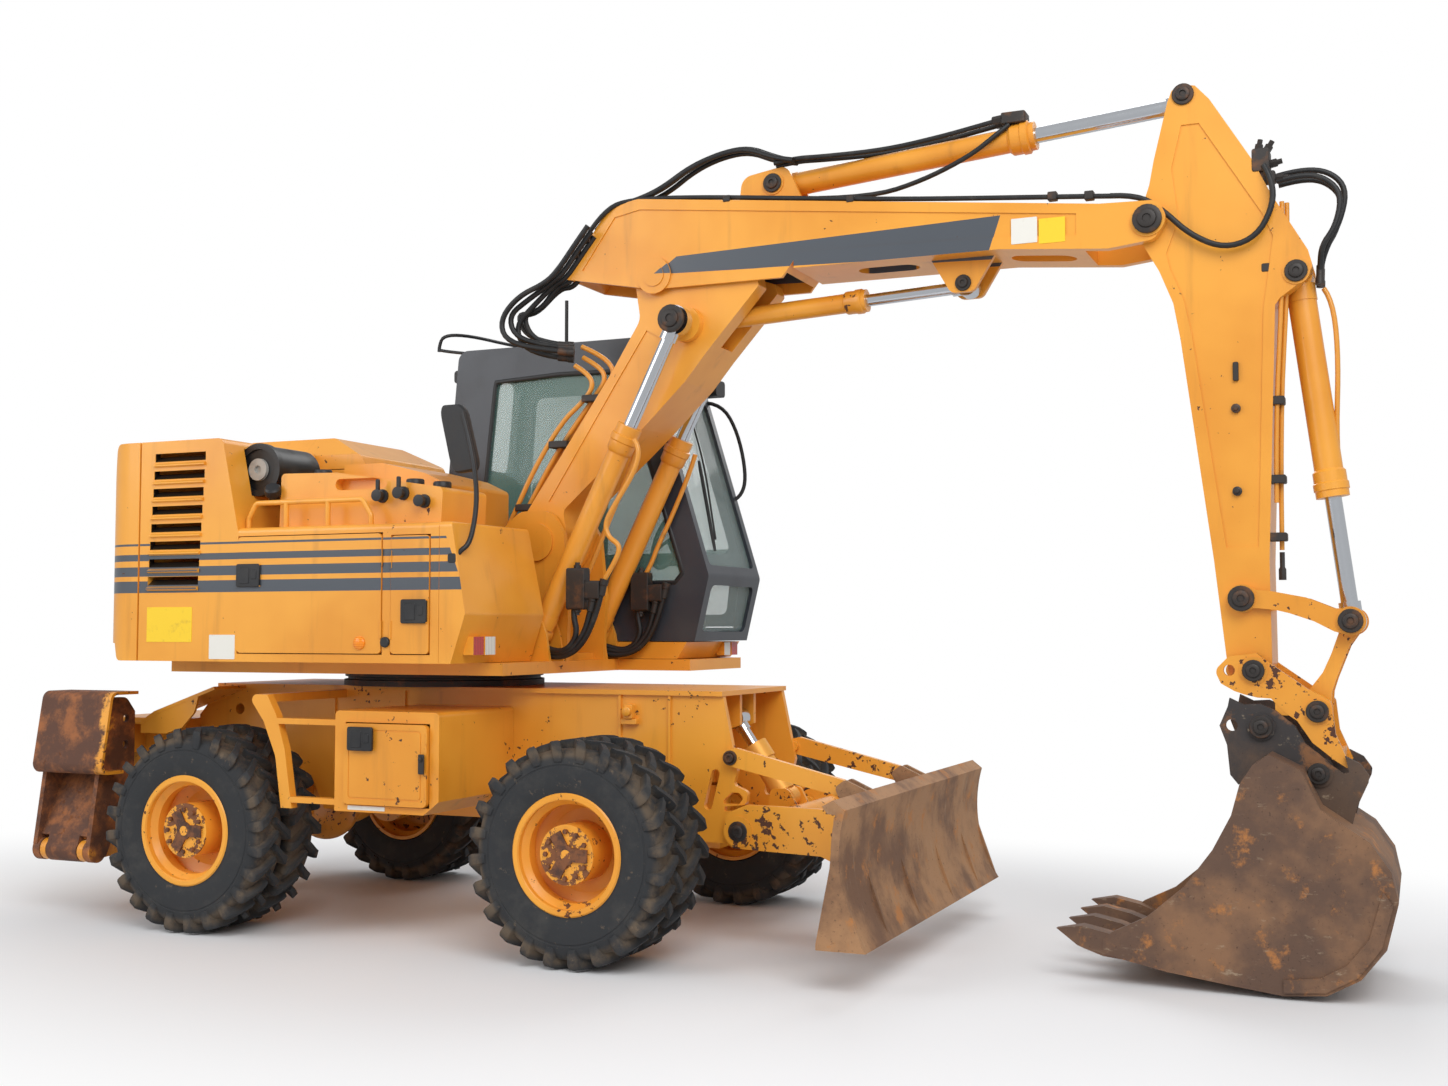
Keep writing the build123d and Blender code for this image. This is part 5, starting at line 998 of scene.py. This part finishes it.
# Hoses from the valve block over the front of the stick to the bucket cylinder's ports
front_routes = [[(3.190, y, z), (3.290, y, z + 0.02), (3.400 + out, y, z), (3.480 + out, y, z - 0.09), (3.450 + out, y, z - 0.24),
                 (3.385 + out, y, 3.420), (3.375, y * 0.6, 3.330), (3.372, y * 0.6, 3.260)]
                for y, z, out in ((-0.120, 3.745, 0.0), (-0.080, 3.780, 0.02), (0.020, 3.760, 0.0))]
front_hoses = build("front_hoses", [tube(route, 0.0135) for route in front_routes], hose)
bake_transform(front_hoses)
build("front_hose_ends", [crimp(route, 0.0135, False) for route in front_routes], dark_steel, "bucket_barrel")
bucket_pipe = [tube([(3.385, 0.0, 3.240), (3.425, 0.0, 3.180), (3.445, 0.0, 2.900), (3.425, 0.0, 2.500), (3.440, 0.0, 2.300)], 0.012)]
build("bucket_pipe", bucket_pipe, pipes, "bucket_barrel")

# Hoses at the feet of the lift cylinders: they come out of the house under the boom and turn up
# into check-valve blocks on the barrels
foot_routes = []
for y in (-0.405, 0.365):
    for shift, (x_top, z_top) in enumerate(((-0.235, 1.885), (-0.300, 1.800), (-0.400, 1.840))):
        lean = 0.03 * shift
        foot_routes.append([(x_top, y, z_top), (x_top - 0.03, y, z_top - 0.12), (-0.330 - lean, y, 1.600), (-0.420 - lean, y * 0.98, 1.500),
                            (-0.560 - lean, y * 0.92, 1.470 + lean), (-0.720, y * 0.85, 1.520 + lean), (-0.900, y * 0.8, 1.600 + lean)])
foot_hoses = build("foot_hoses", [tube(route, 0.016) for route in foot_routes], hose)
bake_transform(foot_hoses)
check_blocks = []
for y in (-0.405, 0.365):
    check_blocks += [block((-0.450, y - 0.036, 1.735), (-0.340, y + 0.036, 1.960), "x", corner=0.015),
                     block((-0.345, y - 0.028, 1.790), (-0.255, y + 0.028, 1.890), "x", corner=0.012)]
    check_blocks += [turned([(0, -0.01), (0.020, -0.01), (0.020, 0.016), (0.013, 0.020), (0.013, 0.032), (0, 0.032)],
                            (-0.398, y, z), (0, 0, way), 6) for z, way in ((1.958, 1), (1.737, -1))]
check_blocks += [crimp(route, 0.016) for route in foot_routes]
build("check_blocks", check_blocks, dark_steel, "lift_barrels")


# The studio: a pale floor that catches a soft shadow and fades to white away from the machine,
# a white world and three large soft lamps
floor_mesh = bpy.data.meshes.new("floor")
floor_mesh.from_pydata([(-60, -60, 0), (60, -60, 0), (60, 60, 0), (-60, 60, 0)], [], [(0, 1, 2, 3)])
floor = bpy.data.objects.new("floor", floor_mesh)
bpy.context.scene.collection.objects.link(floor)
ground = Finish("studio_floor")


def seen_white(tree):
    """Strength 1, plain white, for what the camera or glass sees, and a softer one for the light it gives."""
    path = tree.nodes.new("ShaderNodeLightPath")
    seen = Shade(tree, path.outputs["Is Camera Ray"]) | Shade(tree, path.outputs["Is Transmission Ray"])
    return seen * 0.44 + 0.56


across, away = ground.axis("X") * 0.62, ground.axis("Y")
reach = (across * across + away * away).math("SQRT")
glow = ground.node("ShaderNodeEmission", Color=(1, 1, 1, 1), Strength=seen_white(ground.tree))
ground.end(Base_Color=(0.80, 0.81, 0.83, 1), Roughness=0.9)
blend_floor = ground.tree.nodes.new("ShaderNodeMixShader")
wire(ground.tree, reach.ramp(2.0, 4.6), blend_floor.inputs[0])
ground.tree.links.new(ground.shader.outputs[0], blend_floor.inputs[1])
ground.tree.links.new(glow.socket, blend_floor.inputs[2])
ground.tree.links.new(blend_floor.outputs[0], ground.tree.nodes["Material Output"].inputs["Surface"])
floor_mesh.materials.append(ground.material)
world = bpy.data.worlds.new("studio")
bpy.context.scene.world = world
world.use_nodes = True
background = world.node_tree.nodes["Background"]
background.inputs["Color"].default_value = (1, 1, 1, 1)
wire(world.node_tree, seen_white(world.node_tree), background.inputs["Strength"])
for name, place, aim, size, watts in (
    ("key_lamp", (6.0, -8.0, 9.0), (0.0, 0.0, 1.5), 7.0, 760),
    ("fill_lamp", (-7.0, -8.0, 6.0), (-1.0, 0.0, 1.5), 6.0, 300),
    ("rim_lamp", (0.0, 8.0, 8.0), (0.0, 0.0, 2.0), 6.0, 300),
):
    lamp_data = bpy.data.lights.new(name, "AREA")
    lamp_data.size = size
    lamp_data.energy = watts
    lamp = bpy.data.objects.new(name, lamp_data)
    lamp.location = place
    lamp.rotation_euler = (Vector(aim) - Vector(place)).to_track_quat("-Z", "Y").to_euler()
    bpy.context.scene.collection.objects.link(lamp)
